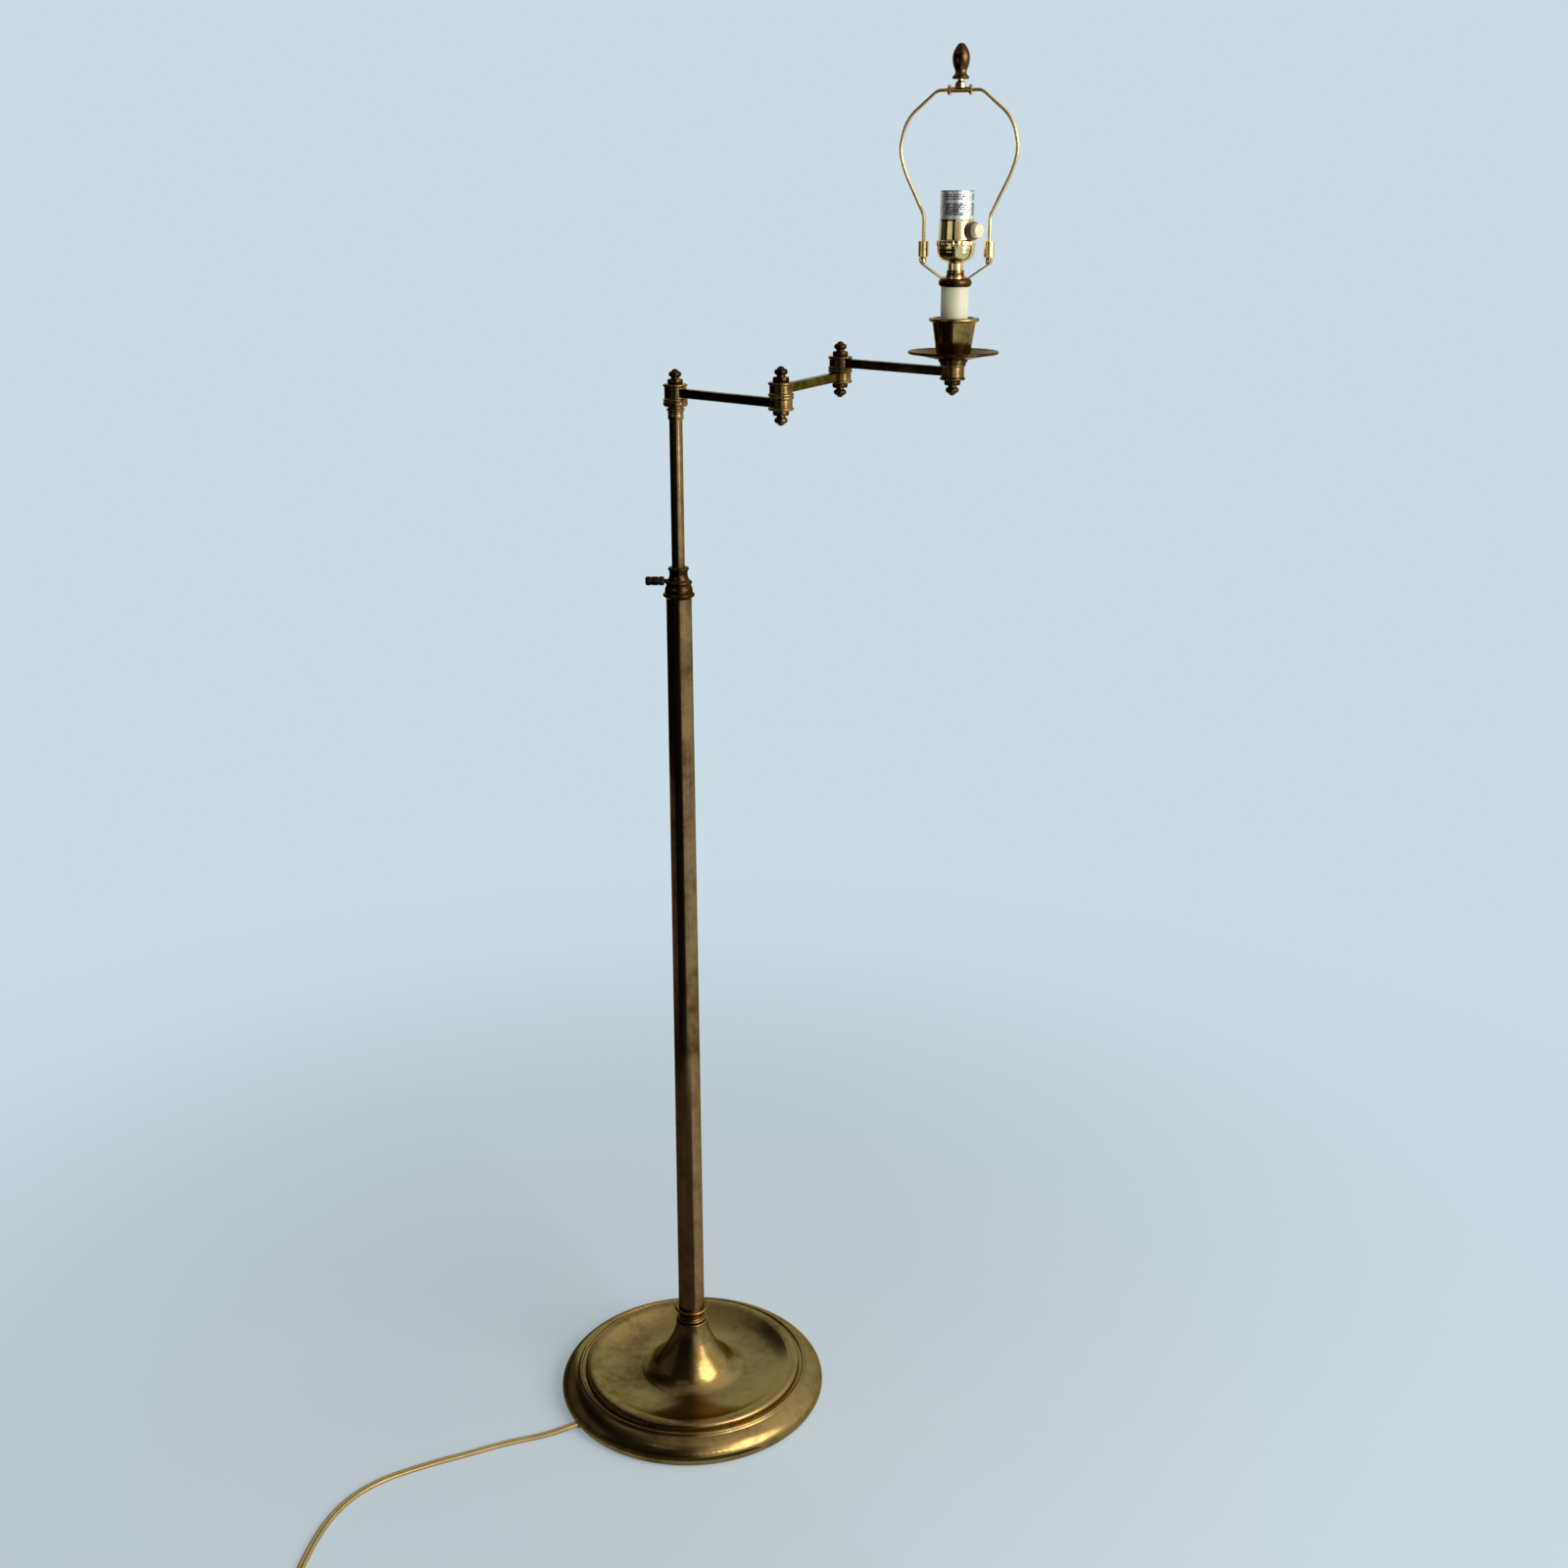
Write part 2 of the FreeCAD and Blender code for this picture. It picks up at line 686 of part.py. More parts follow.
def make_cover():
    """The spun shell: rolled rim, bead, rolled crest, shallow valley and trumpet neck."""
    wall = size["cover_wall"]
    slant = wall * math.sqrt(0.5)
    neck = (size["neck_radius"], size["neck_height"])
    neck_low = neck[1] - size["neck_roll_height"]
    bell = (size["bell_radius"], size["bell_height"])
    throat = (size["trumpet_radius"], size["trumpet_height"])
    valley_in = (size["valley_inner_radius"], size["valley_inner_height"])
    valley_out = (valley_outer_radius, size["valley_outer_height"])
    crest_in = (crest_inner_radius, size["crest_inner_height"])
    crest_out = (crest_outer_radius, size["crest_outer_height"])
    crest_foot = (crest_foot_radius, size["crest_foot_height"])
    bead_in = (bead_inner_radius, size["bead_inner_height"])
    bead_out = (bead_outer_radius, size["bead_outer_height"])
    flange = (flange_inner_radius, size["flange_inner_height"])
    shoulder = (rim_shoulder_radius, size["rim_shoulder_height"])
    foot = (rim_foot_radius, size["rim_bottom"])
    rim_centre = size["rim_radius"] - size["rim_round"]
    flare_centre = bell[0] + size["flare_centre_reach"]
    bell_centre = bell[0] + size["bell_centre_reach"]
    sweep_centre = throat[1] + size["sweep_centre_rise"]
    valley_centre = valley_in[1] + (valley_out[0] - valley_in[0]) * size["valley_flatness"]
    crest_centre = crest_in[1] - size["crest_centre_drop"]
    roll_centre = crest_out[0] - size["crest_roll_overlap"]
    bead_centre = bead_in[1] - size["bead_centre_drop"]
    flange_centre = shoulder[1] - size["flange_round_drop"]
    body = turned(
        "base_cover",
        (nipple_hole, neck[1]),
        [
            line(neck[0], neck[1]),
            bulge(neck[0], neck_low, size["neck_roll_bulge"], neck[1]),
            arc(bell[0], bell[1], 1, centre_across=flare_centre),
            arc(throat[0], throat[1], 1, centre_across=bell_centre),
            arc(valley_in[0], valley_in[1], 1, centre_up=sweep_centre),
            arc(valley_out[0], valley_out[1], 1, centre_up=valley_centre),
            line(crest_in[0], crest_in[1]),
            arc(crest_out[0], crest_out[1], -1, centre_up=crest_centre),
            arc(crest_foot[0], crest_foot[1], -1, centre_across=roll_centre),
            line(crest_base_radius, size["groove_height"]),
            line(groove_radius, size["groove_height"]),
            line(bead_in[0], bead_in[1]),
            arc(bead_out[0], bead_out[1], -1, centre_up=bead_centre),
            line(flange[0], flange[1]),
            arc(shoulder[0], shoulder[1], -1, centre_up=flange_centre),
            arc(foot[0], foot[1], -1, centre_across=rim_centre),
            line(foot[0] - wall, foot[1]),
            line(shoulder[0] - wall, shoulder[1] - wall / 2),
            line(flange[0] - wall / 2, flange[1] - wall),
            line(crest_base_radius - wall, size["groove_height"] - wall),
            line(crest_foot[0] - wall, crest_foot[1] - wall / 2),
            line(crest_out[0], crest_out[1] - wall),
            line(crest_in[0] + wall / 3, crest_in[1] - wall),
            line(valley_out[0], valley_out[1] - wall),
            arc(valley_in[0], valley_in[1] - wall, -1, centre_up=valley_centre),
            arc(throat[0] - slant, throat[1] - slant, -1, centre_up=sweep_centre),
            arc(bell[0] - wall, bell[1] - wall / 2, -1, centre_across=bell_centre),
            arc(neck[0] - wall, neck[1] - wall, -1, centre_across=flare_centre),
            line(nipple_hole, neck[1] - wall),
        ],
        angle=size["cord_angle"],
    )
    # the arched notch in the rim through which the bushing and the cord come out
    notch = new_sketch(body, "YZ_Plane", "notch_outline", bushing_inner)
    radius = size["bushing_radius"] + size["seat_gap"]
    top = cord_exit_height
    draw(
        notch,
        (radius, ZERO),
        [line(radius, top), arc(-radius, top, 1, centre_up=top), line(-radius, ZERO), line(radius, ZERO)],
    )
    pocket(body, notch, size["rim_radius"] - bushing_inner + wall, "notch")
    return body


def make_nipple():
    bottom = size["nipple_bottom"]
    length = column_bottom + size["foot_plug_height"] - bottom
    return ring("base_nipple", size["nipple_radius"], size["nipple_bore"], length, up=bottom)


def make_base_fasteners():
    washer_bottom = size["recess_top"] - size["washer_thickness"]
    thick = size["washer_thickness"]
    washer = ring("base_washer", size["washer_radius"], nipple_hole, thick, washer_bottom)
    nut = new_body("base_nut", up=washer_bottom - size["nut_height"])
    outline = new_sketch(nut, "XY_Plane", "outline")
    corner = size["nut_flat"] / math.sqrt(3.0)
    half = size["nut_flat"] / 2
    points = [
        (corner, ZERO),
        (corner / 2, half),
        (-corner / 2, half),
        (-corner, ZERO),
        (-corner / 2, -half),
        (corner / 2, -half),
    ]
    draw(outline, points[0], [line(*point) for point in points[1:] + points[:1]])
    draw_circle(outline, ZERO, ZERO, nipple_hole)
    pad(nut, outline, size["nut_height"])
    return [washer, nut]


def make_neck_collar():
    """The turned collar between the trumpet neck and the column, with a flared lip."""
    root = size["foot_ring_radius"]
    groove = root - size["foot_groove"]
    ring_low = size["foot_groove_height"]
    ring_high = size["foot_ring_height"]
    waist = size["foot_waist_radius"]
    lip = size["foot_lip_radius"] - size["foot_lip_round"]
    lip_top = size["foot_lip_height"]
    lip_low = lip_top - size["foot_lip_thickness"]
    cup = size["column_bottom_radius"] + size["seat_gap"]
    return turned(
        "neck_collar",
        (nipple_hole, ZERO),
        [
            line(groove, ZERO),
            line(groove, ring_low),
            line(root, ring_low),
            bulge(root, ring_high, size["foot_ring_bulge"], ring_low),
            line(groove, ring_high),
            line(waist, ring_high + size["foot_groove"]),
            line(waist, size["foot_waist_height"]),
            arc(lip, lip_low, -1, centre_across=waist + size["foot_flare_reach"]),
            bulge(lip, lip_top, size["foot_lip_round"], lip_low),
            line(cup, lip_top),
            line(cup, size["foot_floor"]),
            line(nipple_hole, size["foot_floor"]),
        ],
        up=size["neck_height"],
    )


def make_bushing():
    """The grommet in the rim's notch: a short tube along the cord's direction."""
    body = new_body("cord_bushing", up=cord_exit_height, angle=size["cord_angle"])
    outline = new_sketch(body, "YZ_Plane", "outline", bushing_inner)
    draw_circle(outline, ZERO, ZERO, size["bushing_radius"])
    draw_circle(outline, ZERO, ZERO, size["bushing_bore"])
    pad(body, outline, size["bushing_length"])
    return body


# ---------------------------------------------------------------------------------------------
# Column, lock collar and clamp screw
# ---------------------------------------------------------------------------------------------

def make_column():
    wall = size["column_wall"]
    low = size["column_bottom_radius"]
    high = size["column_top_radius"]
    length = size["column_length"]
    tube = turned(
        "column_tube",
        (low - wall, ZERO),
        [line(low, ZERO), line(high, length), line(high - wall, length)],
        up=column_bottom,
    )
    plug_radius = low - wall - size["plug_fit_gap"]
    plug = ring("foot_plug", plug_radius, nipple_hole, size["foot_plug_height"], up=column_bottom)
    return [tube, plug]


def make_lock_collar():
    """Three rings and two bells, with a spigot in the column and a bore for the nylon bush."""
    waist = size["collar_waist_radius"]
    neck = size["collar_neck_radius"]
    height = size["collar_height"]
    ring_low = size["collar_ring_low"]
    ring_high = size["collar_ring_high"]
    mid_low = size["collar_mid_low"]
    mid_high = size["collar_mid_high"]
    top_low = height - size["collar_top_height"]
    ring_root = size["collar_ring_radius"] - size["collar_round"]
    mid_root = size["collar_mid_radius"] - size["collar_round"]
    top_root = size["collar_top_radius"] - size["collar_round"]
    spigot = size["collar_spigot_radius"]
    bore = bush_radius + size["seat_gap"]
    throat = size["mast_radius"] + size["collar_throat_gap"]
    body = turned(
        "lock_collar",
        (bore, -size["collar_spigot_length"]),
        [
            line(spigot, -size["collar_spigot_length"]),
            line(spigot, ZERO),
            line(size["column_top_radius"], ZERO),
            line(ring_root, ring_low),
            bulge(ring_root, ring_high, size["collar_round"], ring_low),
            line(ring_root - size["collar_step"], ring_high),
            arc(waist, mid_low - size["collar_step"], 1, centre_across=waist - size["collar_bell_reach"]),
            line(waist, mid_low),
            line(mid_root, mid_low),
            bulge(mid_root, mid_high, size["collar_round"], mid_low),
            line(mid_root - size["collar_step"], mid_high),
            arc(neck, top_low - size["collar_step"], -1, centre_across=neck + size["collar_scotia_reach"]),
            line(neck, top_low),
            line(top_root, top_low),
            bulge(top_root, height, size["collar_round"], top_low),
            line(throat, height),
            line(throat, height - size["collar_lip"]),
            line(bore, height - size["collar_lip"]),
        ],
        up=column_top,
        angle=size["screw_angle"],
    )
    hole = new_sketch(body, "YZ_Plane", "screw_outline")
    draw_circle(hole, ZERO, size["screw_height"], size["screw_radius"] + size["running_gap"])
    pocket(body, hole, size["collar_ring_radius"], "screw_hole")
    return body


bush_radius = size["mast_radius"] + size["running_gap"] + size["bush_wall"]


def make_collar_bush():
    """The nylon sleeve that guides the mast, with a hole for the clamp screw."""
    bore = size["mast_radius"] + size["running_gap"]
    top = size["collar_height"] - size["collar_lip"]
    low = top - size["bush_length"]
    body = turned(
        "collar_bush",
        (bore, low),
        [line(bush_radius, low), line(bush_radius, top), line(bore, top)],
        up=column_top,
        angle=size["screw_angle"],
    )
    hole = new_sketch(body, "YZ_Plane", "screw_outline")
    draw_circle(hole, ZERO, size["screw_height"], size["screw_radius"] + size["running_gap"])
    pocket(body, hole, size["collar_ring_radius"], "screw_hole")
    return body


def make_clamp_screw():
    """A thumbscrew whose tip bears on the mast; its knob has two shallow grooves."""
    tip = size["mast_radius"] + size["screw_tip_gap"]
    start = tip + size["screw_neck_length"]
    end = start + size["screw_knob_length"]
    knob = size["screw_knob_radius"]
    groove = size["screw_groove"]
    round_off = size["screw_knob_round"]
    third = size["screw_knob_length"] / 3
    body = new_body("clamp_screw", up=column_top + size["screw_height"], angle=size["screw_angle"])
    moves = [
        line(end, ZERO),
        line(end, knob - round_off),
        arc(end - round_off, knob, 1, centre_across=end - round_off),
    ]
    for place_along in (end - third, start + third):
        moves += [
            line(place_along + groove, knob),
            line(place_along, knob - groove),
            line(place_along - groove, knob),
        ]
    moves += [
        line(start + groove, knob),
        line(start, knob - groove),
        line(start, size["screw_radius"]),
        line(tip, size["screw_radius"]),
    ]
    revolve(body, (tip, ZERO), moves, axis="H_Axis")
    return body


# ---------------------------------------------------------------------------------------------
# Mast and its turned top fitting
# ---------------------------------------------------------------------------------------------

def make_mast():
    mast = size["mast_radius"]
    tube = ring("mast_tube", mast, mast - size["mast_wall"], size["mast_length"], up=mast_bottom)
    guide_bore = mast + size["seat_gap"]
    guide = ring("mast_guide", size["guide_radius"], guide_bore, size["guide_height"], up=mast_bottom)
    return [tube, guide]


def make_mast_fitting():
    """Ferrule, two rings, neck and cup; the mast seats below and the pivot tube above."""
    socket = size["mast_radius"] + size["seat_gap"]
    depth = size["mast_socket_depth"]
    height = size["fitting_height"]
    neck = size["fitting_neck_radius"]
    cup = size["fitting_cup_radius"]
    pivot = size["pivot_radius"] + size["seat_gap"]
    ferrule_top = size["fitting_ferrule_top"]
    small_top = size["fitting_small_ring_top"]
    ring_top = size["fitting_ring_top"]
    cup_low = size["fitting_cup_low"]
    edge_low = height - size["fitting_cup_edge"]
    step = size["fitting_step"]
    return turned(
        "mast_fitting",
        (socket, ZERO),
        [
            line(neck, ZERO),
            bulge(neck, ferrule_top, size["fitting_ferrule_radius"] - neck, ZERO),
            bulge(neck, small_top, size["fitting_small_ring_radius"] - neck, ferrule_top),
            line(neck, small_top + step),
            bulge(neck, ring_top, size["fitting_ring_radius"] - neck, small_top + step),
            line(neck, cup_low),
            line(neck + step, cup_low),
            arc(cup, edge_low, 1, centre_up=edge_low),
            line(cup, height - step),
            line(cup - step, height),
            line(pivot, height),
            line(pivot, depth),
            line(socket, depth),
        ],
        up=fitting_bottom,
    )


# ---------------------------------------------------------------------------------------------
# Knuckles, pivot tubes, finials and square arms
# ---------------------------------------------------------------------------------------------

def make_knuckle(name, place_xy, level, height, angle):
    """A flanged barrel about the pivot, with a square socket for its arm on the local +X side."""
    half = height / 2
    flange = size["flange_radius"] - size["flange_round"]
    thick = size["flange_thickness"]
    step = size["flange_step"]
    barrel = size["knuckle_radius"]
    body = turned(
        name,
        (pivot_hole, -half),
        [
            line(flange, -half),
            bulge(flange, -half + thick, size["flange_round"], -half),
            line(barrel, -half + thick + step),
            line(barrel, half - thick - step),
            line(flange, half - thick),
            bulge(flange, half, size["flange_round"], half - thick),
            line(pivot_hole, half),
        ],
        up=level,
        across=place_xy[0],
        away=place_xy[1],
        angle=angle,
    )
    socket = new_sketch(body, "YZ_Plane", "socket_outline")
    side = size["bar_size"] / 2 + size["seat_gap"]
    draw_rectangle(socket, -side, -side, side, side)
    pocket(body, socket, size["flange_radius"] + thick, "socket")
    return body


def finial_outline(seat):
    """A round nut, a neck and a ball with a small domed tip, from the seat upwards."""
    nut = size["finial_nut_radius"] - size["finial_round"]
    nut_top = seat + size["finial_nut_height"]
    neck = size["finial_neck_radius"]
    ball = size["finial_ball_radius"]
    ball_centre = seat + size["finial_ball_height"]
    cap_height = seat + size["finial_cap_height"]
    hole_top = seat + size["pivot_grip"] + size["running_gap"]
    hole = size["pivot_radius"] + size["seat_gap"]
    start = (hole, seat)
    moves = [
        line(nut, seat),
        bulge(nut, nut_top, size["finial_round"], seat),
        line(neck, nut_top + size["finial_step"]),
        line(neck, ball_centre - size["finial_ball_drop"]),
        arc(ball, ball_centre, 1, centre_up=ball_centre),
        arc(size["finial_cap_radius"], cap_height, 1, centre_up=ball_centre),
        arc(ZERO, seat + size["finial_height"], 1, centre_across=ZERO),
        line(ZERO, hole_top),
        line(hole, hole_top),
    ]
    return start, moves


def make_elbow_fittings(number, place_xy, seam):
    """The pivot tube, washer and two finials of an elbow; the finials mirror each other."""
    centre = seam + size["elbow_washer"] / 2
    seat = size["elbow_height"] + size["elbow_washer"] / 2
    reach = seat + size["pivot_grip"]
    pivot = ring(
        "elbow_%d_pivot" % number,
        size["pivot_radius"],
        size["pivot_bore"],
        reach * 2,
        centre - reach,
        place_xy[0],
        place_xy[1],
    )
    washer = ring(
        "elbow_%d_washer" % number,
        size["elbow_washer_radius"],
        pivot_hole,
        size["elbow_washer"],
        seam,
        place_xy[0],
        place_xy[1],
    )
    finials = new_body("elbow_%d_finials" % number, place_xy[0], place_xy[1], centre)
    top = revolve(finials, *finial_outline(seat))
    mirror = finials.newObject("PartDesign::Mirrored", finials.Name + "_mirror")
    mirror.Originals = [top]
    mirror.MirrorPlane = (plane_of(finials, "XY_Plane"), [""])
    finials.Tip = mirror
    return [pivot, washer, finials]


def make_bar(number, place_xy, level, angle):
    """A square tube with rounded edges, seated in a knuckle at each end."""
    body = new_body("arm_%d_bar" % number, place_xy[0], place_xy[1], level, angle=angle)
    outline = new_sketch(body, "YZ_Plane", "outline", size["bar_seat"])
    side = size["bar_size"] / 2
    flat = side - size["bar_corner"]
    draw(
        outline,
        (side, -flat),
        [
            line(side, flat),
            arc(flat, side, 1, centre_across=flat),
            line(-flat, side),
            arc(-side, flat, 1, centre_across=-flat),
            line(-side, -flat),
            arc(-flat, -side, 1, centre_across=-flat),
            line(flat, -side),
            arc(side, -flat, 1, centre_across=flat),
        ],
    )
    bore = side - size["bar_wall"]
    draw_rectangle(outline, -bore, -bore, bore, bore)
    pad(body, outline, size["arm_length"] - size["bar_seat"] * 2)
    return body


def make_arms():
    origin = (ZERO, ZERO)
    elbow_1 = (elbow_1_x, elbow_1_y)
    elbow_2 = (elbow_2_x, elbow_2_y)
    head = (head_x, head_y)
    elbow = size["elbow_height"]
    back = HALF_TURN
    one, two, three = size["arm_1_angle"], size["arm_2_angle"], size["arm_3_angle"]
    made = [
        make_knuckle("shoulder_knuckle", origin, arm_1_level, size["shoulder_height"], one),
        make_bar(1, origin, arm_1_level, one),
        make_knuckle("elbow_1_lower_knuckle", elbow_1, arm_1_level, elbow, one + back),
        make_knuckle("elbow_1_upper_knuckle", elbow_1, arm_2_level, elbow, two),
        make_bar(2, elbow_1, arm_2_level, two),
        make_knuckle("elbow_2_lower_knuckle", elbow_2, arm_2_level, elbow, two + back),
        make_knuckle("elbow_2_upper_knuckle", elbow_2, arm_3_level, elbow, three),
        make_bar(3, elbow_2, arm_3_level, three),
        make_knuckle("end_knuckle", head, arm_3_level, size["end_height"], three + back),
    ]
    made += make_elbow_fittings(1, elbow_1, elbow_1_seam)
    made += make_elbow_fittings(2, elbow_2, elbow_2_seam)
    return made


def make_shoulder_fittings():
    pivot_low = fitting_bottom + size["mast_socket_depth"]
    knuckle_top = fitting_top + size["shoulder_height"]
    length = knuckle_top + size["pivot_grip"] - pivot_low
    pivot = ring("shoulder_pivot", size["pivot_radius"], size["pivot_bore"], length, up=pivot_low)
    start, moves = finial_outline(ZERO)
    finial = turned("shoulder_finial", start, moves, up=knuckle_top)
    return [pivot, finial]


# ---------------------------------------------------------------------------------------------
# Head: nipple, drip dish, candle cup, candle, cap, harp saddle
# ---------------------------------------------------------------------------------------------

def make_head_core():
    knuckle_low = arm_3_level - size["end_height"] / 2
    start, moves = finial_outline(ZERO)
    upside_down = {"axis": (1, 0, 0), "angle": HALF_TURN}
    finial = turned("end_finial", start, moves, knuckle_low, head_x, head_y, **upside_down)
    low = knuckle_low - size["pivot_grip"]
    top = socket_bottom + size["socket_neck_height"]
    nipple = ring("head_nipple", size["pivot_radius"], size["pivot_bore"], top - low, low, head_x, head_y)
    return [finial, nipple]


head_hole = size["pivot_radius"] + size["seat_gap"]


def make_dish():
    """A shallow dish on a stepped boss, with a rolled lip."""
    boss = size["dish_boss_radius"]
    step = size["dish_boss_step"]
    mid = size["dish_boss_height"] / 2
    lip = size["dish_lip"]
    rim = size["dish_radius"] - lip / 2
    rim_top = size["dish_rim_height"]
    wall = size["dish_floor"] - size["dish_boss_height"]
    return turned(
        "drip_dish",
        (head_hole, ZERO),
        [
            line(boss - step, ZERO),
            line(boss - step, mid),
            line(boss, mid),
            line(boss, size["dish_boss_height"]),
            line(rim - lip, rim_top - lip),
            line(rim, rim_top - lip),
            bulge(rim, rim_top, lip / 2, rim_top - lip),
            line(rim - lip, rim_top - lip + wall),
            line(size["dish_flat_radius"], size["dish_floor"]),
            line(head_hole, size["dish_floor"]),
        ],
        dish_bottom,
        head_x,
        head_y,
    )


def make_cup():
    """A tapered cup with a rolled lip, open at the top around the candle sleeve."""
    wall = size["cup_wall"]
    low = size["cup_bottom_radius"]
    high = size["cup_top_radius"]
    top = size["cup_height"]
    lip_low = top - size["cup_lip_thickness"]
    lip_root = size["cup_lip_radius"] - size["cup_lip_thickness"] / 2
    return turned(
        "candle_cup",
        (head_hole, ZERO),
        [
            line(low, ZERO),
            line(high, lip_low),
            line(lip_root, lip_low),
            bulge(lip_root, top, size["cup_lip_thickness"] / 2, lip_low),
            line(high - wall, top),
            line(high - wall, lip_low),
            line(low - wall, wall),
            line(head_hole, wall),
        ],
        cup_bottom,
        head_x,
        head_y,
    )


def make_candle():
    outer = size["candle_radius"]
    inner = outer - size["candle_wall"]
    return ring("candle_sleeve", outer, inner, size["candle_length"], candle_bottom, head_x, head_y)


def make_sleeve_cap():
    """The domed cap that closes the candle sleeve, with a spigot inside it."""
    spigot = size["candle_radius"] - size["candle_wall"] - size["seat_gap"]
    rim = size["cap_radius"]
    height = size["cap_height"]
    shelf = rim - size["cap_round"]
    return turned(
        "sleeve_cap",
        (head_hole, -size["cap_spigot"]),
        [
            line(spigot, -size["cap_spigot"]),
            line(spigot, ZERO),
            line(shelf, ZERO),
            bulge(shelf, height, size["cap_round"], ZERO),
            line(head_hole, height),
        ],
        candle_top,
        head_x,
        head_y,
    )


def make_saddle():
    """The bent strip that carries the harp, with a stepped prong standing on each end."""
    flat = size["saddle_flat"]
    thick = size["saddle_thickness"]
    rise = size["saddle_rise"]
    spread = size["leg_spread"]
    base = size["prong_base_radius"]
    body = new_body("harp_saddle", head_x, head_y, saddle_bottom, angle=size["harp_angle"])
    strip = new_sketch(body, "XZ_Plane", "strip_outline")
    right = [
        (flat, ZERO),
        (spread - base + thick / 2, rise),
        (spread + base, rise),
        (spread + base, rise + thick),
        (spread - base, rise + thick),
        (flat - thick / 2, thick),
    ]
    left = [(-across, up) for across, up in reversed(right)]
    points = right + left
    draw(strip, points[0], [line(*point) for point in points[1:] + points[:1]])
    pad(body, strip, size["saddle_width"], "strip", symmetric=True)
    eye = new_sketch(body, "XY_Plane", "eye_outline")
    draw_circle(eye, ZERO, ZERO, size["saddle_eye_radius"])
    pad(body, eye, thick, "eye")
    hole = new_sketch(body, "XY_Plane", "hole_outline")
    draw_circle(hole, ZERO, ZERO, head_hole)
    pocket(body, hole, thick, "hole")
    shoulder = size["prong_shoulder"]
    stages = (
        ("prong_base", base, rise, shoulder),
        ("prong", size["prong_radius"], shoulder, shoulder + size["prong_length"]),
    )
    for name, radius, low, high in stages:
        outline = new_sketch(body, "XY_Plane", name + "_outline", low)
        draw_circle(outline, spread, ZERO, radius)
        draw_circle(outline, -spread, ZERO, radius)
        pad(body, outline, high - low, name)
    return body


# ---------------------------------------------------------------------------------------------
# Lamp socket and its turn switch
# ---------------------------------------------------------------------------------------------

def make_check_ring():
    outer = size["check_ring_radius"]
    height = size["check_ring_height"]
    low = size["check_ring_flange"]
    root = outer - size["check_ring_round"]
    return turned(
        "check_ring",
        (head_hole, ZERO),
        [
            line(outer, ZERO),
            line(outer, low),
            line(root, low),
            bulge(root, height, size["check_ring_round"] / 2, low),
            line(head_hole, height),
        ],
        saddle_top,
        head_x,
        head_y,
    )


def make_socket_cap():
    """The threaded neck and the bowl on which the socket shell stands."""
    neck = size["socket_neck_radius"]
    neck_top = size["socket_neck_height"]
    wall = size["socket_cap_wall"]
    top = size["socket_cap_height"]
    bowl = size["socket_radius"]
    root = neck + size["socket_cap_step"]
    low = neck_top + size["socket_cap_step"]
    return turned(
        "socket_cap",
        (head_hole, ZERO),
        [
            line(neck, ZERO),
            line(neck, neck_top),
            line(root, low),
            arc(bowl, top, 1, centre_up=top),
            line(bowl - wall, top),
            arc(root, low + wall, -1, centre_up=top),
            line(head_hole, low + wall),
        ],
        socket_bottom,
        head_x,
        head_y,
    )


def switch_hole(body, up, radius, reach):
    """A hole along the local +X side at the switch's height."""
    outline = new_sketch(body, "YZ_Plane", "switch_outline")
    draw_circle(outline, ZERO, up, radius)
    pocket(body, outline, reach, "switch_hole")


def make_shell():
    """The brass shell: a swelled band at its foot, then a slight taper to the open top."""
    wall = size["shell_wall"]
    low = size["socket_radius"]
    band = size["shell_band_height"]
    waist = size["shell_waist_radius"]
    top_radius = size["shell_top_radius"]
    top = size["shell_height"]
    body = turned(
        "socket_shell",
        (low - wall, ZERO),
        [
            line(low, ZERO),
            bulge(low, band, size["shell_band_radius"] - low, ZERO),
            line(waist, band + wall),
            line(top_radius, top),
            line(top_radius - wall, top),
            line(waist - wall, band + wall),
            line(low - wall, band),
        ],
        shell_bottom,
        head_x,
        head_y,
        angle=size["switch_angle"],
    )
    hole = size["switch_bush_radius"] + size["seat_gap"]
    switch_hole(body, size["switch_height"], hole, size["shell_band_radius"] + wall)
    return body


def make_liner():
    """The insulating paper tube inside the shell, which stands out above it."""
    outer = size["liner_radius"]
    inner = outer - size["liner_wall"]
    low = -size["liner_drop"]
    top = size["shell_height"] + size["liner_rise"]
    body = turned(
        "socket_liner",
        (inner, low),
        [line(outer, low), line(outer, top), line(inner, top)],
        shell_bottom,
        head_x,
        head_y,
        angle=size["switch_angle"],
    )
    hole = size["switch_bush_radius"] + size["seat_gap"]
    switch_hole(body, size["switch_height"], hole, outer + size["liner_wall"])
    return body


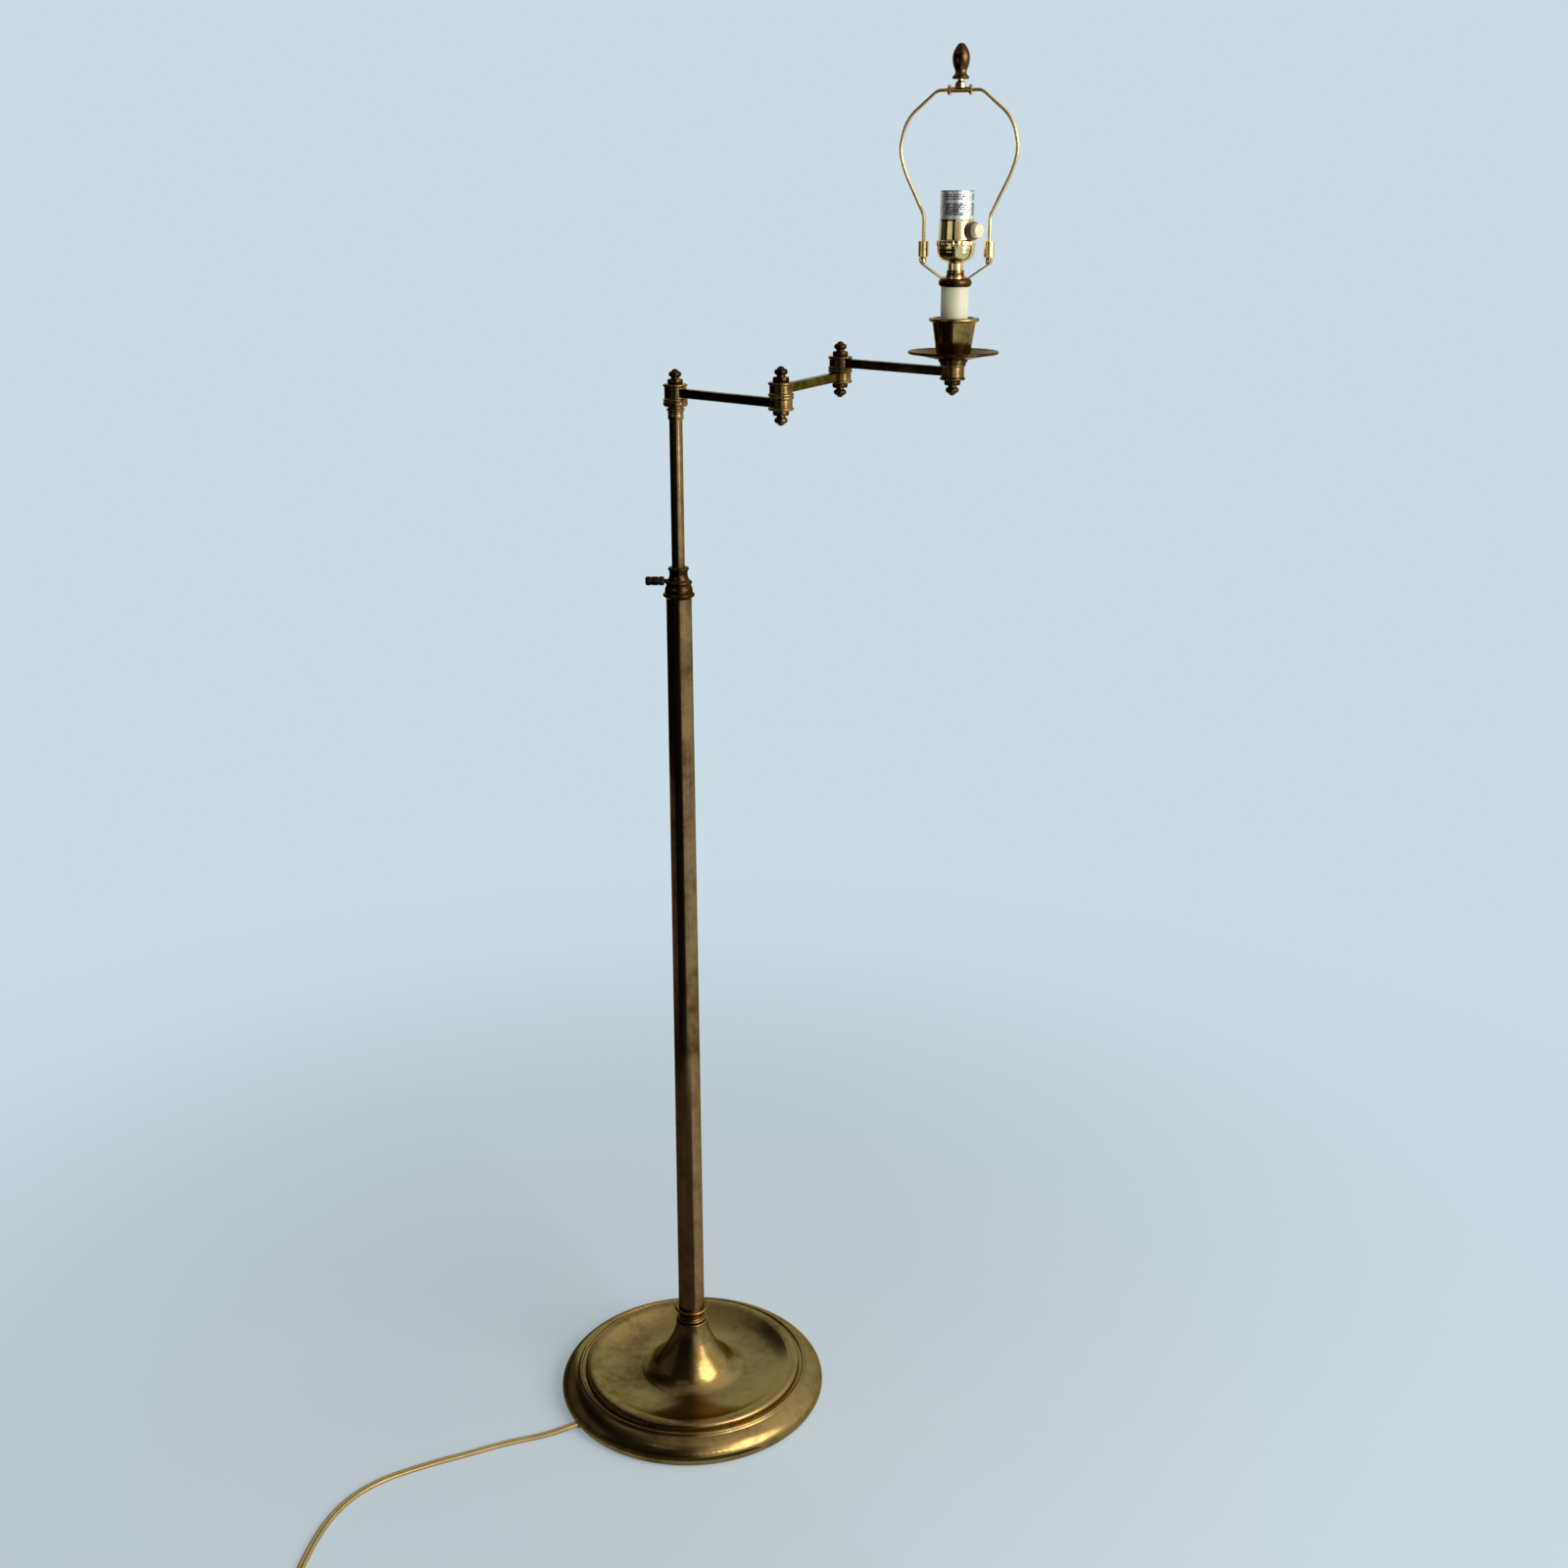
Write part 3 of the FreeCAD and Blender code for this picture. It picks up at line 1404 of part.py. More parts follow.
def make_socket_core():
    """The moulded core that holds the switch, under the screw shell and its centre contact."""
    radius = size["core_radius"]
    stem = size["core_stem_radius"]
    top = size["core_top"]
    low = -size["liner_drop"]
    cap_floor = size["socket_neck_height"] + size["socket_cap_step"] + size["socket_cap_wall"]
    foot = cap_floor - size["socket_cap_height"]
    core = new_body("socket_core", head_x, head_y, shell_bottom, angle=size["switch_angle"])
    revolve(
        core,
        (ZERO, foot),
        [line(stem, foot), line(stem, low), line(radius, low), line(radius, top), line(ZERO, top)],
    )
    shaft = size["switch_shaft_radius"] + size["running_gap"]
    switch_hole(core, size["switch_height"], shaft, radius + shaft)
    bore = size["screw_shell_bore"]
    wall = size["screw_shell_wall"]
    lip = bore - size["screw_shell_lip"]
    drawn = bore - size["screw_shell_draw"]
    drawn_top = size["screw_shell_draw_height"]
    floor = shell_bottom + size["core_top"]
    shell = turned(
        "screw_shell",
        (lip, ZERO),
        [
            line(drawn + wall, ZERO),
            line(bore + wall, drawn_top),
            line(bore + wall, size["screw_shell_height"]),
            line(bore, size["screw_shell_height"]),
            line(bore, drawn_top),
            line(drawn, wall),
            line(lip, wall),
        ],
        floor,
        head_x,
        head_y,
    )
    reach = size["contact_radius"]
    height = size["contact_height"]
    contact = turned(
        "centre_contact",
        (ZERO, ZERO),
        [line(reach, ZERO), line(reach, height / 2), arc(ZERO, height, 1, centre_across=ZERO)],
        floor,
        head_x,
        head_y,
    )
    return [core, shell, contact]


def make_switch():
    """The turn switch: a fixed bush in the shell and a waisted knob on its shaft."""
    height = shell_bottom + size["switch_height"]
    angle = size["switch_angle"]
    knob_start = size["switch_reach"] - size["switch_knob_length"]
    bush = new_body("switch_bush", head_x, head_y, height, angle=angle)
    outline = new_sketch(bush, "YZ_Plane", "outline", size["liner_radius"] - size["liner_wall"])
    draw_circle(outline, ZERO, ZERO, size["switch_bush_radius"])
    draw_circle(outline, ZERO, ZERO, size["switch_shaft_radius"] + size["running_gap"])
    bush_end = knob_start - size["switch_gap"]
    pad(bush, outline, bush_end - size["liner_radius"] + size["liner_wall"])
    knob = new_body("switch_knob", head_x, head_y, height, angle=angle)
    skirt = size["switch_skirt_radius"]
    face = size["switch_knob_radius"]
    waist = face - size["switch_waist"]
    shaft = size["switch_shaft_radius"]
    end = size["switch_reach"]
    skirt_end = knob_start + size["switch_skirt_length"]
    crown = end - size["switch_crown_length"]
    tip = size["switch_shaft_tip"]
    revolve(
        knob,
        (tip, ZERO),
        [
            line(end, ZERO),
            line(end, face - size["switch_waist"]),
            arc(end - size["switch_waist"], face, 1, centre_across=end - size["switch_waist"]),
            line(crown, face),
            line(crown - size["switch_waist"], waist),
            line(skirt_end, waist),
            line(skirt_end, skirt),
            line(knob_start, skirt),
            line(knob_start, shaft),
            line(tip, shaft),
        ],
        axis="H_Axis",
    )
    return [bush, knob]


# ---------------------------------------------------------------------------------------------
# Bent wires: straight runs joined by tangent arcs
# ---------------------------------------------------------------------------------------------

def bent_path(points, largest=None):
    """A wire through the corners, each rounded as far as its shorter run allows; returns radii too."""
    edges, radii = [], []
    previous = points[0]
    for index in range(1, len(points) - 1):
        corner = points[index]
        back = points[index - 1] - corner
        ahead = points[index + 1] - corner
        turn = math.pi - back.getAngle(ahead)
        trim = 0.45 * min(back.Length, ahead.Length)
        radius = trim / math.tan(turn / 2)
        limit = largest[index - 1] if largest else None
        if limit is not None and radius > limit:
            radius = limit
            trim = radius * math.tan(turn / 2)
        back.normalize()
        ahead.normalize()
        enter = corner + back * trim
        leave = corner + ahead * trim
        toward = (back + ahead).normalize()
        centre = corner + toward * (radius / math.cos(turn / 2))
        middle = centre - toward * radius
        edges.append(Part.LineSegment(previous, enter).toShape())
        edges.append(Part.Arc(enter, middle, leave).toShape())
        radii.append(radius)
        previous = leave
    edges.append(Part.LineSegment(previous, points[-1]).toShape())
    return Part.Wire(edges), radii


def swept(path, section, upright=None):
    """The solid that a closed section makes along a path, kept upright where a direction is given."""
    shell = Part.BRepOffsetAPI.MakePipeShell(path)
    if upright is not None:
        shell.setBiNormalMode(upright)
    shell.add(section)
    shell.build()
    shell.makeSolid()
    return shell.shape()


def round_section(centre, along, radius):
    return Part.Wire([Part.Circle(centre, along, radius).toShape()])


def wire_part(name, shape, placement=None):
    item = document.addObject("Part::Feature", name)
    item.Label = name
    item.Shape = shape
    if placement is not None:
        item.Placement = placement
    return item


def report_wire(name, path, area, solid, radii):
    expected = path.Length * area
    print(
        "%s: length %.1f, volume over section times length %.4f, tightest bend %.1f"
        % (name, path.Length, solid.Volume / expected, min(radii))
    )


def make_harp():
    """The harp wire in its own XZ plane, from the left prong over the top to the right one."""
    spread = size["leg_spread"].value
    top = size["harp_height"].value
    right = [
        (spread, 0.0),
        (spread, top - size["harp_knee_drop"].value),
        (size["harp_taper_reach"].value, top - size["harp_taper_drop"].value),
        (size["harp_belly_reach"].value, top - size["harp_belly_drop"].value),
        (size["harp_shoulder_reach"].value, top - size["harp_shoulder_drop"].value),
        (size["harp_top_half"].value, top),
    ]
    left = [(-across, up) for across, up in right]
    points = [FreeCAD.Vector(across, 0, up) for across, up in left + right[::-1]]
    knee = size["harp_knee_bend"].value
    bend = size["harp_top_bend"].value
    limits = [knee, None, None, None, bend, bend, None, None, None, knee]
    path, radii = bent_path(points, limits)
    radius = size["wire_radius"].value
    solid = swept(path, round_section(points[0], FreeCAD.Vector(0, 0, 1), radius))
    report_wire("harp_wire", path, math.pi * radius * radius, solid, radii)
    turn = FreeCAD.Rotation(FreeCAD.Vector(0, 0, 1), size["harp_angle"].value)
    point = FreeCAD.Vector(head_x.value, head_y.value, harp_bottom.value)
    return wire_part("harp_wire", solid, FreeCAD.Placement(point, turn))


def make_bracket():
    """The tube with two ears around the harp's top, and the stud boss that stands on it."""
    bore = size["wire_radius"] + size["seat_gap"]
    tube = size["bracket_radius"]
    ear = size["ear_radius"]
    outer = size["bracket_half"]
    inner = outer - size["ear_thickness"]
    body = new_body("harp_bracket", head_x, head_y, harp_top, angle=size["harp_angle"])
    revolve(
        body,
        (-outer, bore),
        [
            line(outer, bore),
            line(outer, ear),
            line(inner, ear),
            line(inner, tube),
            line(-inner, tube),
            line(-inner, ear),
            line(-outer, ear),
        ],
        "ears",
        "H_Axis",
    )
    boss = size["boss_radius"]
    boss_low = bore + size["boss_clearance"]
    boss_top = tube + size["boss_height"]
    collar_low = boss_top - size["boss_collar"]
    dome_low = collar_low - size["boss_collar"]
    stud = size["stud_radius"]
    revolve(
        body,
        (ZERO, boss_low),
        [
            line(boss, boss_low),
            line(boss - size["boss_taper"], dome_low),
            line(stud + size["boss_taper"], collar_low),
            line(stud + size["boss_taper"], boss_top),
            line(stud, boss_top),
            line(stud, boss_top + size["stud_height"]),
            line(ZERO, boss_top + size["stud_height"]),
        ],
        "boss",
    )
    return body


def make_sleeves():
    """The two sleeves that slide up the harp's legs and lock them on the prongs."""
    bore = size["prong_radius"] + size["running_gap"]
    outer = size["sleeve_radius"]
    height = size["sleeve_height"]
    made = []
    for name, side in (("left_sleeve", -1.0), ("right_sleeve", 1.0)):
        across = head_x + cosine(size["harp_angle"]) * size["leg_spread"] * side
        away = head_y + sine(size["harp_angle"]) * size["leg_spread"] * side
        made.append(ring(name, outer, bore, height, sleeve_bottom, across, away))
    return made


def make_egg():
    """The egg-shaped finial on a flared foot, with a blind hole for the stud."""
    foot = size["egg_foot_radius"] - size["egg_foot_round"]
    foot_top = size["egg_foot_height"]
    waist = size["egg_waist_radius"]
    belly = size["egg_radius"]
    belly_height = size["egg_belly_height"]
    top = size["egg_height"]
    hole = size["stud_radius"] + size["running_gap"]
    depth = size["stud_height"] + size["running_gap"]
    return turned(
        "harp_finial",
        (hole, ZERO),
        [
            line(foot, ZERO),
            bulge(foot, foot_top, size["egg_foot_round"], ZERO),
            arc(waist, size["egg_waist_height"], -1, centre_up=size["egg_waist_height"]),
            line(waist + size["egg_bead"], size["egg_waist_height"]),
            line(waist + size["egg_bead"], size["egg_start_height"]),
            arc(belly, belly_height, 1, centre_up=belly_height),
            arc(size["egg_shoulder_radius"], size["egg_shoulder_height"], 1, centre_up=belly_height),
            arc(ZERO, top, 1, centre_across=ZERO),
            line(ZERO, depth),
            line(hole, depth),
        ],
        egg_bottom,
        head_x,
        head_y,
    )


# ---------------------------------------------------------------------------------------------
# Cord: inner lead, free flat cord, the coil of its rest, and the plug
# ---------------------------------------------------------------------------------------------

def make_lead():
    """The lead under the weight: along the slot, up through the nipple to the foot plug's top."""
    angle = math.radians(size["cord_angle"].value)
    level = cord_exit_height.value
    bend = size["lead_bend"].value
    radius = size["lead_radius"].value
    outward = FreeCAD.Vector(math.cos(angle), math.sin(angle), 0)
    up = FreeCAD.Vector(0, 0, 1)
    start = outward * bushing_inner.value + up * level
    corner = up * level
    top = up * (column_bottom + size["foot_plug_height"]).value
    path, radii = bent_path([start, corner, top], [bend])
    solid = swept(path, round_section(start, outward, radius))
    report_wire("inner_lead", path, math.pi * radius * radius, solid, radii)
    return wire_part("inner_lead", solid)


# the free cord's route on the floor, from the bushing to where it joins the coil
CORD_ROUTE = [
    (-150.0, -91.0),
    (-177.0, -99.5),
    (-202.0, -109.5),
    (-227.0, -121.5),
    (-253.0, -132.5),
    (-279.0, -145.5),
    (-302.0, -158.5),
    (-321.0, -175.0),
    (-336.0, -196.5),
    (-345.5, -220.0),
    (-351.5, -246.0),
    (-355.0, -272.0),
    (-357.0, -298.0),
    (-357.3, -323.0),
    (-356.0, -345.0),
]


def flat_section(start, side, width, thickness):
    """A flat cord's section: a rectangle with half-round edges, upright across the path."""
    up = FreeCAD.Vector(0, 0, 1)
    round_edge = thickness / 2
    flat = width / 2 - round_edge
    corners = [
        start + side * flat - up * round_edge,
        start + side * (flat + round_edge),
        start + side * flat + up * round_edge,
        start - side * flat + up * round_edge,
        start - side * (flat + round_edge),
        start - side * flat - up * round_edge,
    ]
    return Part.Wire(
        [
            Part.Arc(corners[0], corners[1], corners[2]).toShape(),
            Part.LineSegment(corners[2], corners[3]).toShape(),
            Part.Arc(corners[3], corners[4], corners[5]).toShape(),
            Part.LineSegment(corners[5], corners[0]).toShape(),
        ]
    )


def make_cord():
    angle = math.radians(size["cord_angle"].value)
    outward = FreeCAD.Vector(math.cos(angle), math.sin(angle), 0)
    side = FreeCAD.Vector(-math.sin(angle), math.cos(angle), 0)
    lift = FreeCAD.Vector(0, 0, cord_exit_height.value)
    level = size["cord_height"].value
    start = outward * bushing_inner.value + lift
    points = [start, outward * (bushing_outer + size["cord_straight"]).value + lift]
    points += [FreeCAD.Vector(x, y, level) for x, y in CORD_ROUTE]
    path, radii = bent_path(points)
    width = size["cord_width"].value
    thickness = size["cord_thickness"].value
    section = flat_section(start, side, width, thickness)
    solid = swept(path, section, FreeCAD.Vector(0, 0, 1))
    report_wire("power_cord", path, Part.Face(section).Area, solid, radii)
    print("power_cord radii " + " ".join("%.0f" % radius for radius in radii))
    return wire_part("power_cord", solid)


def make_coil():
    """The outer shape of the neatly coiled rest of the cord."""
    middle = size["coil_radius"]
    half = size["coil_half_width"]
    height = size["coil_height"]
    corner = size["cord_thickness"] / 2
    return turned(
        "cord_coil",
        (middle - half, corner),
        [
            arc(middle - half + corner, ZERO, 1, centre_up=corner),
            line(middle + half - corner, ZERO),
            arc(middle + half, corner, 1, centre_up=corner),
            line(middle + half, height - corner),
            arc(middle + half - corner, height, 1, centre_up=height - corner),
            line(middle - half + corner, height),
            arc(middle - half, height - corner, 1, centre_up=height - corner),
        ],
        across=size["coil_x"],
        away=size["coil_y"],
    )


def make_plug():
    """A moulded two-blade plug lying flat, with its strain relief towards the coil."""
    level = size["plug_height"] / 2
    away = size["coil_y"] - size["coil_radius"] - size["coil_turn_offset"]
    relief = size["plug_relief_length"]
    body = new_body("plug_body", size["plug_x"], away, level)
    revolve(
        body,
        (ZERO, ZERO),
        [
            line(relief + size["plug_corner"], ZERO),
            line(relief + size["plug_corner"], size["plug_relief_end"]),
            line(relief, size["plug_relief_end"]),
            line(ZERO, size["plug_relief_start"]),
        ],
        "relief",
        "H_Axis",
    )
    outline = new_sketch(body, "YZ_Plane", "grip_outline", relief)
    side = size["plug_width"] / 2
    corner = size["plug_corner"]
    draw(
        outline,
        (side, corner - level),
        [
            line(side, level - corner),
            arc(side - corner, level, 1, centre_across=side - corner),
            line(corner - side, level),
            arc(-side, level - corner, 1, centre_across=corner - side),
            line(-side, corner - level),
            arc(corner - side, -level, 1, centre_across=corner - side),
            line(side - corner, -level),
            arc(side, corner - level, 1, centre_across=side - corner),
        ],
    )
    pad(body, outline, size["plug_length"], "grip")
    blades = new_body("plug_blades", size["plug_x"], away, level)
    pair = new_sketch(blades, "YZ_Plane", "outline", relief + size["plug_length"])
    half_gap = size["blade_spacing"] / 2
    thick = size["blade_thickness"] / 2
    wide = size["blade_width"] / 2
    for middle in (-half_gap, half_gap):
        draw_rectangle(pair, middle - thick, -wide, middle + thick, wide)
    pad(blades, pair, size["blade_length"])
    return [body, blades]


# ---------------------------------------------------------------------------------------------
# Build, check and write
# ---------------------------------------------------------------------------------------------

def build():
    made = [
        make_felt(),
        make_weight(),
        make_cover(),
        make_nipple(),
        make_base_fasteners(),
        make_neck_collar(),
        make_bushing(),
        make_column(),
        make_lock_collar(),
        make_collar_bush(),
        make_clamp_screw(),
        make_mast(),
        make_mast_fitting(),
        make_shoulder_fittings(),
        make_arms(),
        make_head_core(),
        make_dish(),
        make_cup(),
        make_candle(),
        make_sleeve_cap(),
        make_saddle(),
        make_check_ring(),
        make_socket_cap(),
        make_shell(),
        make_liner(),
        make_socket_core(),
        make_switch(),
        make_harp(),
        make_bracket(),
        make_sleeves(),
        make_egg(),
        make_lead(),
        make_cord(),
        make_coil(),
        make_plug(),
    ]
    pieces = []
    for item in made:
        pieces += item if isinstance(item, list) else [item]
    return pieces


pieces = build()
document.recompute()

failed = [item.Name for item in document.Objects if "Invalid" in item.State or "Error" in item.State]
if failed:
    raise RuntimeError("failed objects: " + ", ".join(failed))
for piece in pieces:
    if piece.Shape.isNull() or not piece.Shape.isValid() or not piece.Shape.Solids:
        raise RuntimeError(piece.Label + " has no valid solid")

os.makedirs("parts", exist_ok=True)
for piece in pieces:
    piece.Shape.exportStep("parts/" + piece.Label + ".step")
print("%d parts written" % len(pieces))
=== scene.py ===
"""Bridge floor lamp: cord, fine pieces, finishes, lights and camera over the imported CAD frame.

Everything is in metres in the frame that the CAD was packed in: +Z up, the floor at z = 0.
Profiles of small pieces are written in millimetres and scaled by MM.
"""
import math

import bmesh
import bpy
from mathutils import Matrix, Vector


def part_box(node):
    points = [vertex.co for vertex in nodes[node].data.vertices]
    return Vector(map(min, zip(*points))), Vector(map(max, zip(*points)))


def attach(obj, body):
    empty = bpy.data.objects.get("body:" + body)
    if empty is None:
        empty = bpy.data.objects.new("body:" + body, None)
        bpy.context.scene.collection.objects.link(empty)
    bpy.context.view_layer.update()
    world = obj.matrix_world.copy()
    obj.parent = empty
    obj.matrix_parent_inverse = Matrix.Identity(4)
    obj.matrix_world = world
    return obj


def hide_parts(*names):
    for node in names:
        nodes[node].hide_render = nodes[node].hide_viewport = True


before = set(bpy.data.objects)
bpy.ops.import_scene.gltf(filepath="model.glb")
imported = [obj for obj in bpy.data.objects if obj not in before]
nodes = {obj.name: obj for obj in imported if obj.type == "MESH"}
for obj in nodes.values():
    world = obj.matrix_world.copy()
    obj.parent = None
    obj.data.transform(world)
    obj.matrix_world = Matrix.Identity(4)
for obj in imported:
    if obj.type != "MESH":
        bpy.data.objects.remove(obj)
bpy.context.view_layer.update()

MM = 0.001


# ---------------------------------------------------------------------------------------------
# Places read from the frame
# ---------------------------------------------------------------------------------------------

def middle(node):
    """The middle of a node's box."""
    low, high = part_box(node)
    return (low + high) / 2


HEAD = middle("candle_sleeve")
BETWEEN_LEGS = middle("right_sleeve") - middle("left_sleeve")
HARP_ALONG = BETWEEN_LEGS.normalized()
LEG_SPREAD = BETWEEN_LEGS.length / 2
SWITCH_AXIS = (middle("switch_knob") - HEAD) * Vector((1, 1, 0))
SWITCH_ALONG = SWITCH_AXIS.normalized()


def upright(node):
    """The frame of an upright piece on the head's axis: its origin is the node's lowest level."""
    return Matrix.Translation((HEAD.x, HEAD.y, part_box(node)[0].z))


def lying(origin, along):
    """A frame at origin whose Z runs along a level direction and whose Y points down."""
    z = along.normalized()
    y = Vector((0, 0, -1))
    return Matrix.Translation(origin) @ Matrix((y.cross(z), y, z)).transposed().to_4x4()


def turned_about(origin, along):
    """An upright frame at origin whose X runs along a level direction."""
    x = along.normalized()
    z = Vector((0, 0, 1))
    return Matrix.Translation(origin) @ Matrix((x, z.cross(x), z)).transposed().to_4x4()


# ---------------------------------------------------------------------------------------------
# Mesh helpers
# ---------------------------------------------------------------------------------------------

def face_out(mesh):
    """Turn every face of a closed mesh outwards."""
    work = bmesh.new()
    work.from_mesh(mesh)
    bmesh.ops.recalc_face_normals(work, faces=work.faces)
    work.to_mesh(mesh)
    work.free()


def add_piece(name, vertices, faces, finishes, body, sharp=35, place=None, face_finish=None):
    """A mesh that rides on a body; face_finish gives each face's index among the finishes."""
    mesh = bpy.data.meshes.new(name)
    mesh.from_pydata([tuple(place @ Vector(v)) if place else tuple(v) for v in vertices], [], faces)
    face_out(mesh)
    mesh.polygons.foreach_set("use_smooth", [True] * len(mesh.polygons))
    for finish in finishes:
        mesh.materials.append(finish)
    if face_finish:
        mesh.polygons.foreach_set("material_index", face_finish)
    mesh.update()
    mesh.set_sharp_from_angle(angle=math.radians(sharp))
    piece = bpy.data.objects.new(name, mesh)
    bpy.context.scene.collection.objects.link(piece)
    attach(piece, body)
    return piece


def loft(rings, closed=False):
    """Vertices and faces of a skin over rings of points; closed joins the last ring to the first."""
    count = len(rings[0])
    vertices = [point for ring in rings for point in ring]
    spans = len(rings) if closed else len(rings) - 1
    faces = []
    for span in range(spans):
        low, high = span * count, (span + 1) % len(rings) * count
        for i in range(count):
            j = (i + 1) % count
            faces.append((low + i, low + j, high + j, high + i))
    if not closed:
        faces.append(tuple(reversed(range(count))))
        faces.append(tuple(range(len(vertices) - count, len(vertices))))
    return vertices, faces


def lathe(profile, segments=96, shape=None, closed=True):
    """A profile of (radius, height) in mm turned about Z; shape(radius, height, turn) bends it."""
    rings = []
    for radius, height in profile:
        ring = []
        for step in range(segments):
            turn = 2 * math.pi * step / segments
            r, h = shape(radius, height, turn) if shape else (radius, height)
            ring.append(Vector((r * math.cos(turn), r * math.sin(turn), h)) * MM)
        rings.append(ring)
    return loft(rings, closed)


def join(*parts):
    """Several (vertices, faces) as one."""
    vertices, faces = [], []
    for more_vertices, more_faces in parts:
        start = len(vertices)
        vertices += more_vertices
        faces += [tuple(start + i for i in face) for face in more_faces]
    return vertices, faces


def rounded(points, radius, steps=5):
    """A polyline in a plane with every inner corner turned into an arc."""
    made = [Vector(points[0])]
    for before, corner, after in zip(points, points[1:], points[2:]):
        corner = Vector(corner)
        back, on = (Vector(before) - corner).normalized(), (Vector(after) - corner).normalized()
        half = back.angle(on) / 2
        centre = corner + (back + on).normalized() * radius / math.sin(half)
        reach = radius / math.tan(half)
        start, end = corner + back * reach - centre, corner + on * reach - centre
        sweep = start.angle_signed(end)
        for step in range(steps + 1):
            made.append(centre + Matrix.Rotation(-sweep * step / steps, 2) @ start)
    return made + [Vector(points[-1])]


def eased(value, low, high):
    """0 below low, 1 above high, and smooth between them."""
    share = min(max((value - low) / (high - low), 0.0), 1.0)
    return share * share * (3 - 2 * share)


# ---------------------------------------------------------------------------------------------
# Finishes
# ---------------------------------------------------------------------------------------------

class NodeTree:
    """A shader node tree and short ways to add nodes to it."""

    def __init__(self, tree):
        self.tree = tree

    def join(self, socket, value):
        """Link the socket to another node's output, or set it to a plain value."""
        if isinstance(value, bpy.types.NodeSocket):
            self.tree.links.new(value, socket)
        else:
            socket.default_value = value

    def add(self, kind, inputs=None, **settings):
        """A new node with these settings, its inputs set or linked."""
        node = self.tree.nodes.new("ShaderNode" + kind)
        for key, value in settings.items():
            setattr(node, key, value)
        for socket, value in (inputs or {}).items():
            self.join(node.inputs[socket], value)
        return node

    def math(self, operation, first, second=0.0, clamped=False):
        """The result of a math operation on two values; clamped keeps it from 0 to 1."""
        node = self.add("Math", {0: first, 1: second}, operation=operation, use_clamp=clamped)
        return node.outputs[0]

    def ranged(self, value, low, high, out_low=0.0, out_high=1.0):
        """value taken smoothly from low..high to out_low..out_high."""
        inputs = {0: value, 1: low, 2: high, 3: out_low, 4: out_high}
        return self.add("MapRange", inputs, interpolation_type="SMOOTHSTEP").outputs[0]

    def between(self, value, low, high, soft):
        """1 from low to high, fading to 0 over soft outside them."""
        return self.math(
            "MULTIPLY", self.ranged(value, low - soft, low), self.ranged(value, high, high + soft, 1.0, 0.0)
        )


class Finish(NodeTree):
    """A Principled material and the nodes that feed it, read at the places pieces have at rest."""

    def __init__(self, name, **sockets):
        self.material = bpy.data.materials.new(name)
        self.material.use_nodes = True
        super().__init__(self.material.node_tree)
        self.shader = self.tree.nodes["Principled BSDF"]
        self.place = self.add("TexCoord").outputs["Object"]
        self.feed(**sockets)

    def feed(self, **sockets):
        """Set or link the shader's sockets, whose names are written with underscores."""
        for socket, value in sockets.items():
            self.join(self.shader.inputs[socket.replace("_", " ")], value)

    def noise(self, scale, detail=3.0, rough=0.55, stretch=None):
        """Noise of so many cells a metre; stretch scales the three directions."""
        vector = self.place
        if stretch:
            vector = self.add("Mapping", {"Vector": vector, "Scale": stretch}).outputs[0]
        inputs = {"Vector": vector, "Scale": scale, "Detail": detail, "Roughness": rough}
        return self.add("TexNoise", inputs).outputs[0]

    def mixed(self, share, first, second):
        """The first colour at a share of 0, the second at 1."""
        colours = {6: colour(first), 7: colour(second), 0: share}
        return self.add("Mix", colours, data_type="RGBA").outputs[2]

    def bump(self, height, depth, strength=1.0):
        """Make the surface look raised by height times depth metres."""
        inputs = {"Height": height, "Distance": depth, "Strength": strength}
        self.feed(Normal=self.add("Bump", inputs).outputs[0])

    def edge(self, radius, low, high):
        """1 on convex and concave edges of about that radius, 0 on open surface."""
        soft = self.add("Bevel", {"Radius": radius}, samples=6).outputs[0]
        true = self.add("NewGeometry").outputs["Normal"]
        agree = self.add("VectorMath", {0: soft, 1: true}, operation="DOT_PRODUCT").outputs["Value"]
        return self.ranged(agree, high, low)


def colour(value):
    """A colour of three numbers with its alpha; anything else as it is."""
    return (*value, 1.0) if isinstance(value, tuple) and len(value) == 3 else value


# how much each size of noise counts in the patina
CLOUD_SHARE, BLOTCH_SHARE, GRAIN_SHARE = 0.5, 0.3, 0.2
# the rounding in metres at which an edge counts as worn, and how far it is rubbed bare
WORN_EDGE, WORN_SHARE = 0.0007, 0.85
DRAWN_LENGTHWISE = (1.0, 1.0, 0.02)


